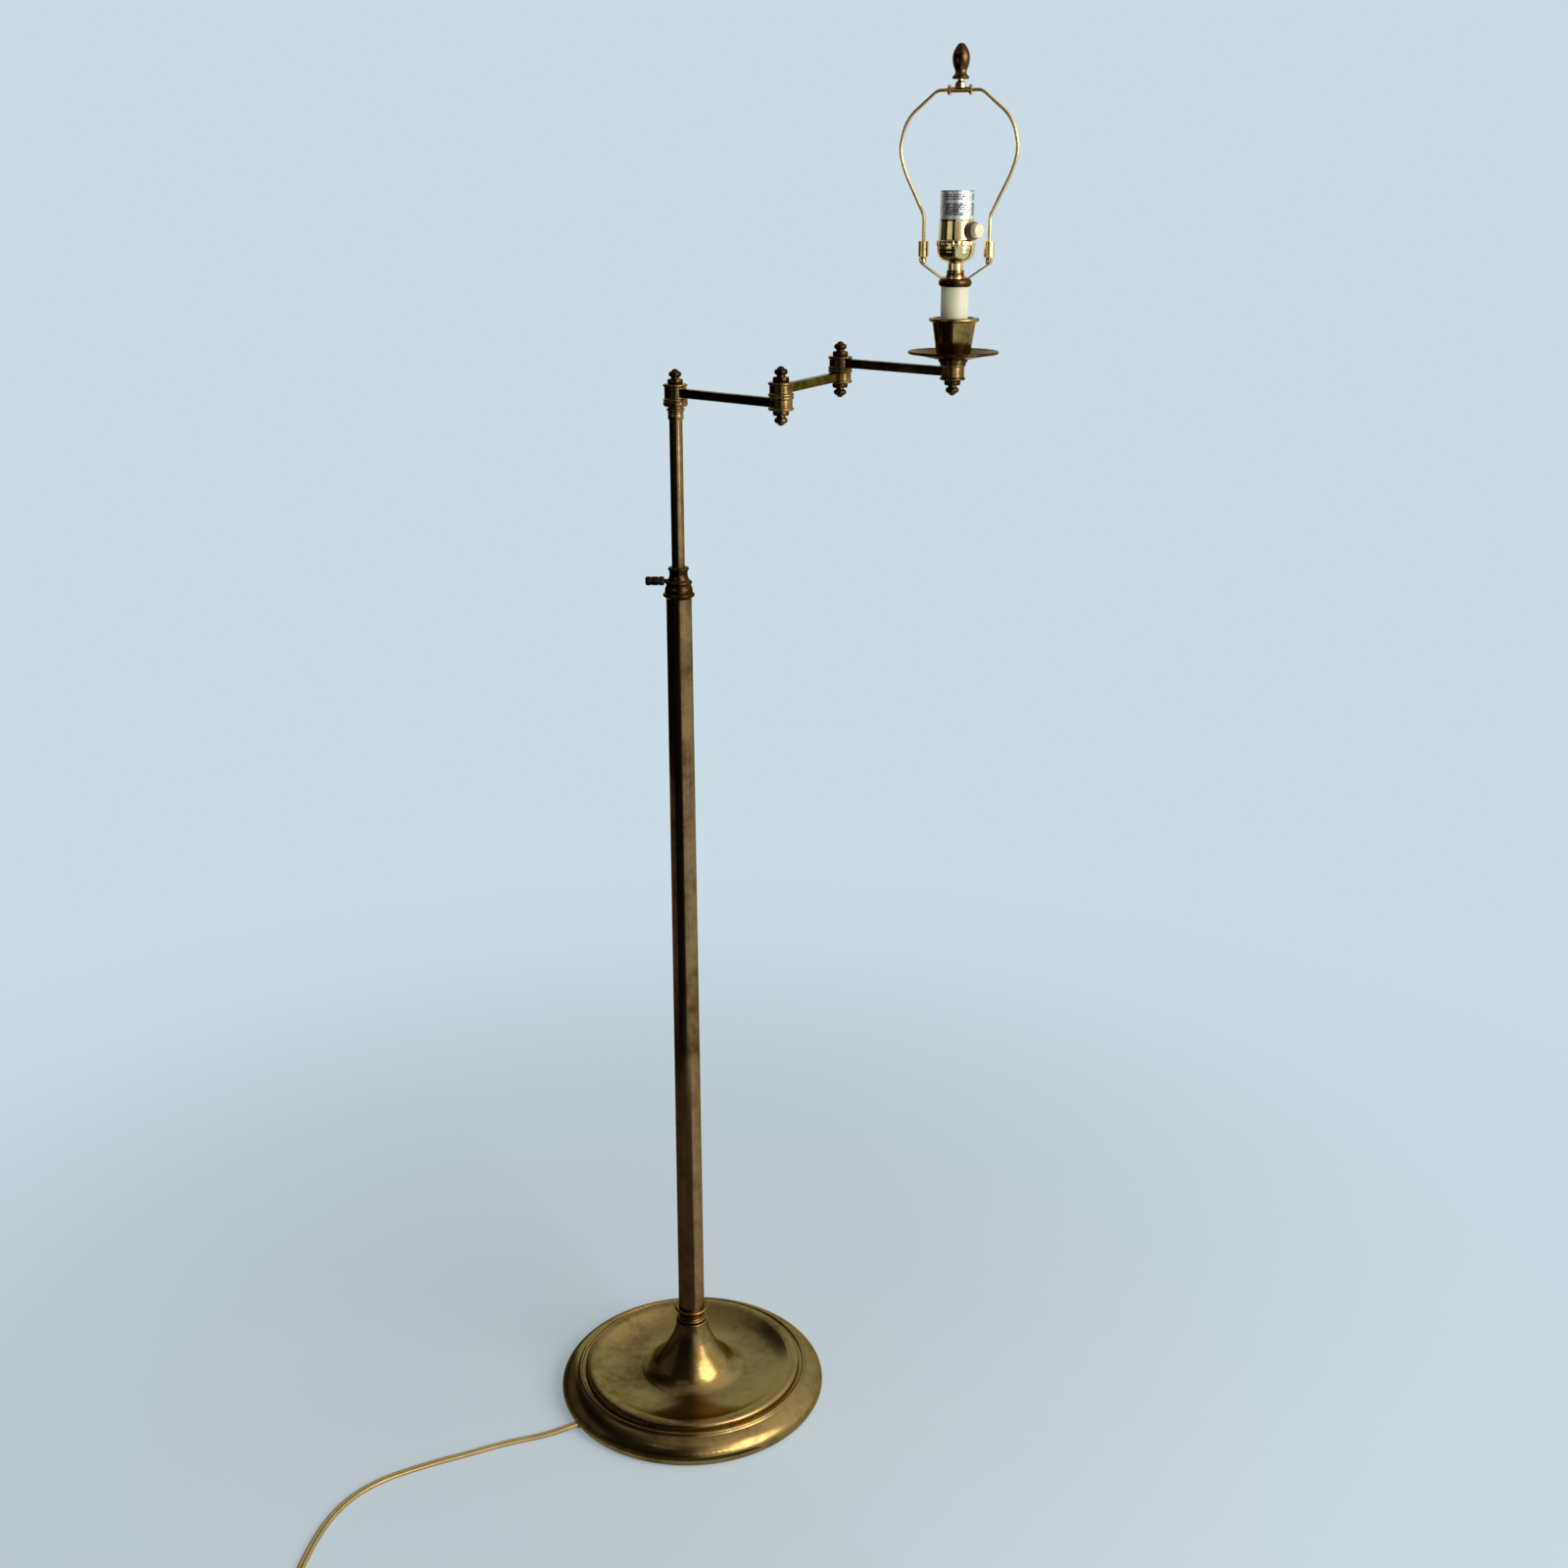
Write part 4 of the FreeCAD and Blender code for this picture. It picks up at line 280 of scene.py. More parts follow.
def aged_brass(name, dark, bright, patina, rough, streaks=(1.0, 1.0, 1.0)):
    """Burnished brass with a mottled brown patina that has rubbed off along its edges.

    patina is the pair of noise levels between which brown gives way to brass, rough the
    roughness of the rubbed and of the brown metal, streaks a stretch that draws the grain out.
    """
    finish = Finish(name, Metallic=1.0, Specular_Tint=(0.72, 0.60, 0.42, 1.0))
    cloud = finish.noise(16.0, 4.0)
    blotch = finish.noise(95.0, 5.0, 0.6)
    grain = finish.noise(700.0, 4.0, 0.7, streaks)
    mottle = finish.math("MULTIPLY", cloud, CLOUD_SHARE)
    mottle = finish.math("ADD", mottle, finish.math("MULTIPLY", blotch, BLOTCH_SHARE))
    mottle = finish.math("ADD", mottle, finish.math("MULTIPLY", grain, GRAIN_SHARE))
    share = finish.ranged(mottle, *patina)
    worn = finish.edge(WORN_EDGE, 0.93, 0.995)
    share = finish.math("MAXIMUM", share, finish.math("MULTIPLY", worn, WORN_SHARE))
    finish.feed(
        Base_Color=finish.mixed(share, dark, bright),
        Roughness=finish.ranged(share, 0.0, 1.0, rough[1], rough[0]),
    )
    finish.bump(finish.math("ADD", grain, finish.noise(2600.0, 2.0)), 0.00002, 0.5)
    return finish.material


def polished_brass(name, tint, dull, rough):
    """Polished metal whose colour clouds from tint to dull, smeared between two roughnesses."""
    finish = Finish(name, Metallic=1.0)
    smear = finish.noise(150.0, 4.0, 0.6)
    haze = finish.noise(40.0, 3.0)
    finish.feed(
        Base_Color=finish.mixed(finish.ranged(haze, 0.35, 0.7), tint, dull),
        Roughness=finish.ranged(smear, 0.3, 0.75, rough[0], rough[1]),
    )
    finish.bump(finish.noise(300.0, 2.0), 0.000012, 0.3)
    return finish.material


def moulded(name, first, second, rough, coat=0.0, grain=900.0, **sockets):
    """Plastic, paper or cast iron: slightly cloudy colour, fine skin, optional clear coat."""
    finish = Finish(name, Coat_Weight=coat, Coat_Roughness=0.12, **sockets)
    finish.feed(
        Base_Color=finish.mixed(finish.ranged(finish.noise(60.0, 4.0), 0.35, 0.65), first, second),
        Roughness=finish.ranged(finish.noise(200.0, 3.0), 0.3, 0.7, rough[0], rough[1]),
    )
    finish.bump(finish.noise(grain, 3.0), 0.00003, 0.4)
    return finish.material


def make_ivory():
    """A candle cover: warm ivory, browner in blotches towards both ends."""
    finish = Finish("ivory_cover", Subsurface_Weight=0.15, Coat_Weight=0.15, Coat_Roughness=0.3)
    finish.shader.inputs["Subsurface Radius"].default_value = (0.004, 0.003, 0.002)
    low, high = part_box("candle_sleeve")
    level = finish.add("SeparateXYZ", {0: finish.place}).outputs[2]
    foot = finish.ranged(level, low.z + 0.020, low.z + 0.036, 1.0, 0.0)
    head = finish.ranged(level, high.z - 0.010, high.z, 0.0, 0.6)
    # blotches of brown towards the foot and the head of the cover
    darker_ends = finish.math("MULTIPLY", finish.math("ADD", foot, head), finish.noise(70.0, 4.0))
    cloud = finish.ranged(finish.noise(30.0), 0.3, 0.7)
    body = finish.mixed(cloud, (0.70, 0.68, 0.45), (0.76, 0.74, 0.53))
    finish.feed(
        Base_Color=finish.mixed(finish.math("MULTIPLY", darker_ends, 0.7), body, (0.50, 0.38, 0.20)),
        Roughness=finish.ranged(finish.noise(120.0), 0.3, 0.7, 0.38, 0.5),
    )
    finish.bump(finish.noise(500.0, 3.0), 0.00004, 0.4)
    return finish.material


LINER_RADIUS = 14.4


def make_liner():
    """The socket's crinkled silvery liner, with plain rows of dark blue bars printed on it.

    Bars are laid out in mm round the liner and down from its top; turns are in radians.
    """
    finish = Finish("liner_paper", Metallic=0.75)
    x, y, z = finish.add("SeparateXYZ", {0: finish.place}).outputs
    turn = finish.math("ARCTAN2", finish.math("SUBTRACT", y, HEAD.y), finish.math("SUBTRACT", x, HEAD.x))
    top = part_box("socket_liner")[1].z
    down = finish.math("MULTIPLY", finish.math("SUBTRACT", top, z), 1 / MM)
    flat = finish.add("CombineXYZ", {0: finish.math("MULTIPLY", turn, LINER_RADIUS), 1: down}).outputs[0]

    def bars(width, height, mortar, first, last):
        """Bars of that width and height, between two distances from the top."""
        brick = {
            "Vector": flat,
            "Scale": 1.0,
            "Mortar Size": mortar,
            "Mortar Smooth": 0.1,
            "Brick Width": width,
            "Row Height": height,
            "Bias": -1.0,
        }
        gap = finish.add("TexBrick", brick, offset=0.37, squash=0.6, squash_frequency=3).outputs["Fac"]
        rows = finish.between(down, first, last, 0.1)
        return finish.math("MULTIPLY", finish.math("SUBTRACT", 1.0, gap), rows)

    large = bars(2.7, 2.0, 0.32, 3.0, 7.6)
    small = bars(5.6, 1.45, 0.20, 10.1, 20.3)
    front = finish.between(turn, -2.43, -1.12, 0.02)
    right_and_back = finish.ranged(turn, -0.66, -0.64)
    patchy = finish.ranged(finish.noise(420.0, 4.0), 0.36, 0.43)
    printed = finish.math("MAXIMUM", front, right_and_back)
    ink = finish.math("MULTIPLY", finish.math("MAXIMUM", large, small), printed)
    ink = finish.math("MULTIPLY", ink, patchy)
    dark_rim = finish.ranged(down, 0.7, 1.3, 0.55, 0.0)
    ink = finish.math("MAXIMUM", ink, dark_rim)
    paper = finish.mixed(finish.noise(160.0, 4.0), (0.60, 0.62, 0.58), (0.84, 0.85, 0.82))
    finish.feed(
        Base_Color=finish.mixed(ink, paper, (0.014, 0.020, 0.065)),
        Roughness=finish.ranged(finish.noise(90.0, 3.0), 0.3, 0.7, 0.24, 0.40),
    )
    finish.bump(finish.noise(230.0, 3.0, 0.6), 0.0007, 0.9)
    return finish.material


def make_jacket():
    """A flat cord's clear gold jacket over twisted strands, laid out by the UV along and across it."""
    finish = Finish("cord_jacket", Metallic=0.35, Coat_Weight=1.0, Coat_Roughness=0.12)
    along, across, _ = finish.add("SeparateXYZ", {0: finish.add("UVMap").outputs[0]}).outputs
    lay = finish.math("ADD", finish.math("MULTIPLY", along, 330.0), finish.math("MULTIPLY", across, 9.0))
    strand = finish.math("PINGPONG", lay, 0.5)
    strand = finish.ranged(strand, 0.05, 0.45)
    cloud = finish.ranged(finish.noise(60.0, 3.0), 0.3, 0.7)
    clear = finish.mixed(cloud, (0.52, 0.37, 0.11), (0.64, 0.47, 0.16))
    finish.feed(
        Base_Color=finish.mixed(finish.math("MULTIPLY", strand, 0.55), clear, (0.34, 0.20, 0.055)),
        Roughness=finish.ranged(finish.noise(300.0), 0.3, 0.7, 0.3, 0.42),
    )
    finish.bump(strand, 0.00006, 0.5)
    return finish.material


def make_felt():
    """Dark green pressed felt."""
    finish = Finish("felt", Sheen_Weight=0.4, Roughness=0.95)
    fibre = finish.noise(1400.0, 5.0, 0.7)
    finish.feed(Base_Color=finish.mixed(fibre, (0.012, 0.028, 0.014), (0.05, 0.085, 0.045)))
    finish.bump(fibre, 0.0004, 0.8)
    return finish.material


antique = aged_brass("antique_brass", (0.060, 0.029, 0.010), (0.37, 0.235, 0.085), (0.36, 0.58), (0.18, 0.24))
rubbed = aged_brass("rubbed_brass", (0.060, 0.029, 0.010), (0.40, 0.260, 0.088), (0.33, 0.52), (0.14, 0.20))
umber = aged_brass("umber_brass", (0.030, 0.014, 0.006), (0.24, 0.138, 0.057), (0.42, 0.66), (0.17, 0.24))
satin = aged_brass("satin_brass", (0.120, 0.070, 0.023), (0.33, 0.222, 0.080), (0.32, 0.58), (0.22, 0.30))
tube = aged_brass(
    "tube_brass", (0.075, 0.037, 0.014), (0.35, 0.215, 0.090), (0.32, 0.60), (0.18, 0.25), DRAWN_LENGTHWISE
)
bar = aged_brass("bar_brass", (0.030, 0.019, 0.009), (0.28, 0.190, 0.075), (0.42, 0.70), (0.18, 0.26))
bronze = aged_brass("dark_bronze", (0.012, 0.010, 0.008), (0.20, 0.16, 0.09), (0.52, 0.75), (0.22, 0.36))
bright = polished_brass("bright_brass", (0.82, 0.67, 0.33), (0.68, 0.52, 0.22), (0.05, 0.16))
wire = polished_brass("wire_brass", (0.82, 0.61, 0.29), (0.68, 0.46, 0.18), (0.16, 0.26))
nickel = polished_brass("blade_nickel", (0.66, 0.60, 0.48), (0.55, 0.46, 0.33), (0.16, 0.3))
steel = polished_brass("zinc_steel", (0.56, 0.56, 0.55), (0.42, 0.42, 0.40), (0.24, 0.42))
iron = moulded("cast_iron", (0.03, 0.03, 0.03), (0.07, 0.065, 0.06), (0.6, 0.85), grain=250.0)
nylon = moulded("nylon", (0.72, 0.68, 0.56), (0.78, 0.75, 0.66), (0.4, 0.55))
phenolic = moulded("phenolic", (0.018, 0.014, 0.012), (0.04, 0.03, 0.024), (0.3, 0.45))
knob_brown = moulded("knob_brown", (0.075, 0.032, 0.014), (0.13, 0.062, 0.028), (0.28, 0.4), coat=0.3)
knob_cream = moulded("knob_cream", (0.76, 0.68, 0.42), (0.82, 0.76, 0.54), (0.25, 0.36), coat=0.4)
bushing = moulded("bushing_gold", (0.42, 0.28, 0.09), (0.50, 0.35, 0.13), (0.35, 0.5), coat=0.4)
plug_gold = moulded("plug_gold", (0.40, 0.27, 0.08), (0.52, 0.36, 0.12), (0.28, 0.4), coat=0.7)
paper = moulded("tie_paper", (0.62, 0.60, 0.55), (0.74, 0.72, 0.66), (0.7, 0.85), grain=1600.0)
ivory = make_ivory()
liner = make_liner()
jacket = make_jacket()
felt = make_felt()

# the finish of every CAD node: those named here, and antique brass on the rest
FINISHES = {
    satin: ("base_cover", "neck_collar"),
    rubbed: ("candle_cup",),
    umber: (
        "sleeve_cap", "harp_finial", "drip_dish", "shoulder_finial", "elbow_1_finials", "elbow_2_finials",
        "end_finial", "lock_collar",
    ),
    tube: ("column_tube", "mast_tube"),
    bar: ("arm_1_bar", "arm_2_bar", "arm_3_bar"),
    bronze: ("clamp_screw",),
    bright: ("socket_cap", "socket_shell", "screw_shell", "centre_contact", "switch_bush"),
    wire: ("harp_wire", "harp_bracket", "left_sleeve", "right_sleeve", "harp_saddle"),
    nickel: ("plug_blades",),
    steel: (
        "base_nipple", "base_washer", "base_nut", "foot_plug", "shoulder_pivot",
        "elbow_1_pivot", "elbow_2_pivot", "head_nipple",
    ),
    iron: ("base_weight",),
    felt: ("felt_pad",),
    nylon: ("collar_bush", "mast_guide", "elbow_1_washer", "elbow_2_washer"),
    bushing: ("cord_bushing", "inner_lead"),
    ivory: ("candle_sleeve",),
    liner: ("socket_liner",),
    phenolic: ("socket_core",),
    knob_brown: ("switch_knob",),
    jacket: ("power_cord", "cord_coil"),
    plug_gold: ("plug_body",),
}
finish_of = {name: finish for finish, names in FINISHES.items() for name in names}
for name, node in nodes.items():
    for slot in node.material_slots:
        slot.material = finish_of.get(name, antique)


# ---------------------------------------------------------------------------------------------
# Cord: one flat two-wire cord from the bushing over the floor into its coil and its plug
# ---------------------------------------------------------------------------------------------

CORD_WIDTH = 0.0074
CORD_THICKNESS = 0.0039
CORD_LEVEL = 0.0020
CORD_ROUTE = [
    (-0.10987, -0.07135, 0.0054),
    (-0.12287, -0.07979, 0.0054),
    (-0.1500, -0.0910, 0.0020),
    (-0.1770, -0.0995, 0.0020),
    (-0.2020, -0.1095, 0.0020),
    (-0.2270, -0.1215, 0.0020),
    (-0.2530, -0.1325, 0.0020),
    (-0.2790, -0.1455, 0.0020),
    (-0.3020, -0.1585, 0.0020),
    (-0.3210, -0.1750, 0.0020),
    (-0.3360, -0.1965, 0.0020),
    (-0.3455, -0.2200, 0.0020),
    (-0.3515, -0.2460, 0.0020),
    (-0.3550, -0.2720, 0.0020),
    (-0.3570, -0.2980, 0.0020),
    (-0.3573, -0.3230, 0.0020),
    (-0.3560, -0.3450, 0.0020),
]
COIL_CENTRE = Vector((-0.309, -0.363, 0.0))
COIL_LANE = 0.047
COIL_TURNS = 7.25
POINTS_A_TURN = 20
LANE_STEP, LAYER_STEP = 0.008, 0.004
# turns between which the cord moves to the next lane or layer, and by how much
COIL_MOVES = [
    (0.87, 0.96, -LANE_STEP, 0.0),
    (1.75, 1.84, 0.0, LAYER_STEP),
    (2.64, 2.73, 0.0, LAYER_STEP),
    (3.53, 3.62, 0.0, LAYER_STEP),
    (4.43, 4.53, LANE_STEP, 0.0),
    (5.33, 5.43, 0.0, -LAYER_STEP),
    (6.33, 6.43, 0.0, -LAYER_STEP),
]


def coil_points():
    """The turns, wound up the inner lane and back down the outer one over the first turn."""
    # a quadratic spline runs inside the polygon of its points by this share
    inside = (3 + math.cos(2 * math.pi / POINTS_A_TURN)) / 4
    made = []
    for step in range(int(COIL_TURNS * POINTS_A_TURN) + 1):
        turns = step / POINTS_A_TURN
        radius, height = COIL_LANE, CORD_LEVEL
        for start, end, outward, upward in COIL_MOVES:
            share = eased(turns, start, end)
            radius += outward * share
            height += upward * share
        angle = math.pi + 2 * math.pi * turns
        way = Vector((math.cos(angle), math.sin(angle), 0)) * radius / inside
        made.append(COIL_CENTRE + way + Vector((0, 0, height)))
    return made


def follow(name, points):
    """Points along a NURBS spline that has the given control points."""
    curve = bpy.data.curves.new(name, "CURVE")
    curve.dimensions = "3D"
    curve.resolution_u = 5
    spline = curve.splines.new("NURBS")
    spline.points.add(len(points) - 1)
    for control, point in zip(spline.points, points):
        control.co = (*point, 1.0)
    spline.order_u = 3
    spline.use_endpoint_u = True
    holder = bpy.data.objects.new(name, curve)
    mesh = bpy.data.meshes.new_from_object(holder)
    path = [vertex.co.copy() for vertex in mesh.vertices]
    bpy.data.objects.remove(holder)
    bpy.data.meshes.remove(mesh)
    return path


def cord_section():
    """The outline of two round wires side by side with a shallow groove between them."""
    wire = CORD_THICKNESS / 2
    reach = CORD_WIDTH / 2 - wire
    angles = [math.radians(20 * step) for step in range(7)]
    top = [(reach + wire * math.cos(angle), wire * math.sin(angle)) for angle in angles]
    groove = (0.0, wire * 0.66)
    top += [groove] + [(-x, y) for x, y in reversed(top)]
    return top + [(-x, -y) for x, y in top[1:-1]]


def make_cord():
    """The cord, the points it follows and its length."""
    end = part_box("plug_body")[0]
    plug_level = middle("plug_body").z
    away = COIL_CENTRE.y - COIL_LANE
    tail = [(-0.300, away, 0.0061), (-0.291, away, plug_level), (end.x + 0.006, away, plug_level)]
    path = follow("cord_route", CORD_ROUTE + coil_points() + tail)
    section = cord_section()
    rings, lengths = [], []
    run = 0.0
    for index, point in enumerate(path):
        before, after = path[max(index - 1, 0)], path[min(index + 1, len(path) - 1)]
        along = (after - before).normalized()
        side = Vector((-along.y, along.x, 0)).normalized()
        up = along.cross(side)
        run += (point - before).length
        lengths.append(run)
        rings.append([point + side * x + up * y for x, y in section])
    vertices, faces = loft(rings)
    cord = add_piece("flat_cord", vertices, faces, [jacket], "stand", 60)
    count = len(section)
    layer = cord.data.uv_layers.new(name="along_around")
    for polygon in cord.data.polygons:
        for loop in polygon.loop_indices:
            ring, place = divmod(cord.data.loops[loop].vertex_index, count)
            layer.data[loop].uv = (lengths[ring], section[place][0] / CORD_WIDTH)
    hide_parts("power_cord", "cord_coil")
    return cord, path, run


def strip_section(point, across, normal, wide, thick):
    """The corners of a flat strip's section; wide and thick are half of its sizes."""
    corners = ((-1, -1), (1, -1), (1, 1), (-1, 1))
    return [point + across * side * wide + normal * face * thick for side, face in corners]


def make_tie():
    """A paper-covered wire tie round the bundle of turns, its twisted ends lying outwards."""
    turn = math.radians(35)
    out = Vector((math.cos(turn), math.sin(turn), 0))
    side = Vector((-out.y, out.x, 0))
    low, high, inner, outer, corner = 0.0003, 0.0165, 0.0348, 0.0512, 0.003
    loop = []
    for across, up, start in ((outer, high, 0), (inner, high, 90), (inner, low, 180), (outer, low, 270)):
        centre = (
            across - corner if across == outer else across + corner,
            up - corner if up == high else up + corner,
        )
        for step in range(6):
            angle = math.radians(start + 90 * step / 5)
            loop.append((centre[0] + corner * math.cos(angle), centre[1] + corner * math.sin(angle)))
    wide, thick = 0.0021, 0.00025
    upwards = Vector((0, 0, 1))
    rings = []
    for index, (across, up) in enumerate(loop):
        before, after = loop[index - 1], loop[(index + 1) % len(loop)]
        tangent = Vector((after[0] - before[0], after[1] - before[1])).normalized()
        face = out * tangent.y - upwards * tangent.x
        point = COIL_CENTRE + out * across + upwards * up
        rings.append(strip_section(point, side, face, wide, thick))
    parts = [loft(rings, closed=True)]
    # the two ends twist round each other, sink and part
    end_length, end_height, end_sink, end_wide = 0.014, 0.0125, 0.0045, wide * 0.7
    end_steps = 24
    for first_spin in (math.pi, 0.0):
        rings = []
        for step in range(end_steps + 1):
            share = step / end_steps
            spin = math.pi * 2.5 * min(share * 1.6, 1.0) + first_spin
            spread = 0.0006 + 0.004 * eased(share, 0.6, 1.0)
            point = COIL_CENTRE + out * (outer + 0.0004 + end_length * share)
            point += upwards * (end_height - end_sink * share * share)
            point += (side * math.cos(spin) + upwards * math.sin(spin)) * spread
            across = side * math.cos(spin + 1.2) + upwards * math.sin(spin + 1.2)
            rings.append(strip_section(point, across, across.cross(out), end_wide, thick))
        parts.append(loft(rings))
    vertices, faces = join(*parts)
    return add_piece("cord_tie", vertices, faces, [paper], "stand", 40)


def make_plug():
    """The moulded plug: a ribbed relief that swells into a waisted grip with a bevelled nose."""
    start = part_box("plug_body")[0]
    centre = middle("plug_body")
    # each station in mm: place along, half width, half height; then how square the section is
    stations = [(0.0, 4.0, 2.5, 2.2), (1.2, 4.4, 3.0, 2.2)]
    for rib in range(5):
        left = 2.4 + rib * 3.1
        grow = rib / 5
        stations += [
            (left, 4.3 + grow, 3.1 + grow * 1.6, 2.2),
            (left + 0.3, 4.9 + grow * 1.2, 3.7 + grow * 1.8, 2.2),
            (left + 1.8, 5.0 + grow * 1.2, 3.8 + grow * 1.8, 2.2),
            (left + 2.1, 4.4 + grow, 3.2 + grow * 1.6, 2.2),
        ]
    stations += [
        (18.4, 6.1, 5.2, 2.4), (20.0, 8.4, 5.8, 2.8), (22.5, 10.9, 6.2, 3.2), (26.0, 12.3, 6.45, 3.6),
        (29.0, 12.3, 6.45, 3.8), (33.0, 11.5, 6.3, 3.8), (37.0, 11.3, 6.3, 3.8), (41.0, 11.9, 6.45, 4.0),
        (44.5, 12.45, 6.5, 4.4), (45.9, 12.4, 6.4, 4.6), (46.6, 11.9, 6.0, 4.8), (47.0, 11.2, 5.4, 4.8),
    ]
    segments = 48
    rings = []
    for along, wide, tall, power in stations:
        ring = []
        for step in range(segments):
            angle = 2 * math.pi * step / segments
            cosine, sine = math.cos(angle), math.sin(angle)
            x = math.copysign(abs(cosine) ** (2 / power), cosine) * wide
            y = math.copysign(abs(sine) ** (2 / power), sine) * tall
            ring.append(Vector((start.x + along * MM, centre.y + x * MM, centre.z + y * MM)))
        rings.append(ring)
    vertices, faces = loft(rings)
    plug = add_piece("moulded_plug", vertices, faces, [plug_gold], "stand", 50)
    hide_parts("plug_body")
    return plug


cord, cord_path, cord_length = make_cord()
tie = make_tie()
plug = make_plug()


# ---------------------------------------------------------------------------------------------
# Socket, switch knob, saddle and clamp screw
# ---------------------------------------------------------------------------------------------

def make_shell():
    """The drawn brass shell: a swelled band pressed with upright ovals, and a rolled lip."""
    ovals, wide, tall, middle_height, proud = 22, 1.45, 2.9, 6.9, 0.45
    wall = 0.5

    def press(radius, height, turn):
        cell = (turn * ovals / (2 * math.pi)) % 1 - 0.5
        across = cell * 2 * math.pi * radius / ovals
        reach = math.hypot(across / wide, (height - middle_height) / tall)
        return radius + proud * (1 - eased(reach, 0.5, 1.0)), height

    def outer(height):
        band = 16.0 + 0.5 * math.sqrt(max(0.0, 1 - ((height - 4.4) / 4.6) ** 2))
        body = 15.6 - 0.65 * (height - 9.4) / 17.2
        return band + (body - band) * eased(height, 8.8, 9.5)

    heights = [0.0, 0.4, 1.0, 2.0, 3.2] + [3.7 + 0.35 * step for step in range(20)] + [12, 16, 20, 24, 25.8]
    outside = [(outer(height), height) for height in heights]
    lip = [(15.12, 26.1), (15.1, 26.45), (14.9, 26.6), (14.6, 26.5), (14.47, 26.2)]
    inside = [(outer(height) - wall, height) for height in reversed(heights)]
    vertices, faces = lathe(outside + lip + inside, ovals * 14, press)
    place = upright("socket_shell")
    shell = add_piece("socket_shell_drawn", vertices, faces, [bright], "head", 40, place)
    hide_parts("socket_shell")


def make_screw_shell():
    """The threaded shell that takes the bulb's cap, drawn in to a narrow foot."""
    pitch, mean, depth, wall = 3.63, 12.8, 0.42, 0.34
    low, high = 4.4, 21.0

    def thread(radius, height, turn):
        inner = radius < mean + wall / 2
        share = eased(height, low - 0.3, low + 1.2) * (1 - eased(height, high - 1.2, high + 0.2))
        wave = mean + depth * math.sin(2 * math.pi * height / pitch - turn) + (0 if inner else wall)
        return (radius + (wave - radius) * share, height)

    heights = [low + (high - low) * step / 44 for step in range(45)]
    foot = [(9.2, 0.0), (10.8, 0.0), (11.3, 0.5), (11.4, 3.0), (11.7, 3.5), (12.7, 3.8)]
    outside = [(mean + wall, height) for height in heights]
    lip = [(13.5, 21.3), (13.55, 21.8), (13.2, 21.8), (13.15, 21.3)]
    inside = [(mean, height) for height in reversed(heights)]
    floor = [(12.6, 4.1), (11.5, 3.9), (11.0, 3.4), (10.9, 0.8), (10.6, 0.4), (9.2, 0.4)]
    vertices, faces = lathe(foot + outside + lip + inside + floor, 96, thread)
    place = upright("screw_shell")
    shell = add_piece("screw_shell_threaded", vertices, faces, [bright], "head", 60, place)
    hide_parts("screw_shell")


def make_knob():
    """The turn knob: a fluted cream face and a fluted brown skirt, with its shaft behind."""
    length, shaft, skirt_end = 10.8, 9.5, 6.0
    flutes = 26
    profile = [
        (1.4, -shaft), (2.0, 0.6 - shaft), (2.0, 0.0), (7.0, 0.0), (7.45, 0.4), (7.5, 1.4), (7.5, 4.6),
        (7.3, 5.4), (6.9, 5.85), (6.3, skirt_end), (6.2, 6.5), (6.35, 7.0), (6.4, 9.2), (6.2, 10.0),
        (5.7, 10.5), (4.8, 10.72), (3.0, length), (0.6, length),
    ]

    def flute(radius, height, turn):
        wave = abs(math.sin(turn * flutes / 2))
        if 0.2 < height < skirt_end - 0.1:
            return radius - 0.38 * wave ** 0.7 * eased(radius, 6.6, 7.4), height
        if skirt_end + 0.4 < height < 10.6:
            return radius - 0.16 * wave, height
        return radius, height

    segments = flutes * 8
    vertices, faces = lathe(profile, segments, flute, closed=False)
    finish = []
    for _, high in profile[1:]:
        finish += [0 if high <= skirt_end else 1] * segments
    start = SWITCH_AXIS.length - length * MM / 2
    place = lying(Vector((HEAD.x, HEAD.y, middle("switch_knob").z)) + SWITCH_ALONG * start, SWITCH_ALONG)
    knob = add_piece(
        "turn_knob", vertices, faces, [knob_brown, knob_cream], "switch", 40, place, finish + [0, 1]
    )
    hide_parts("switch_knob")


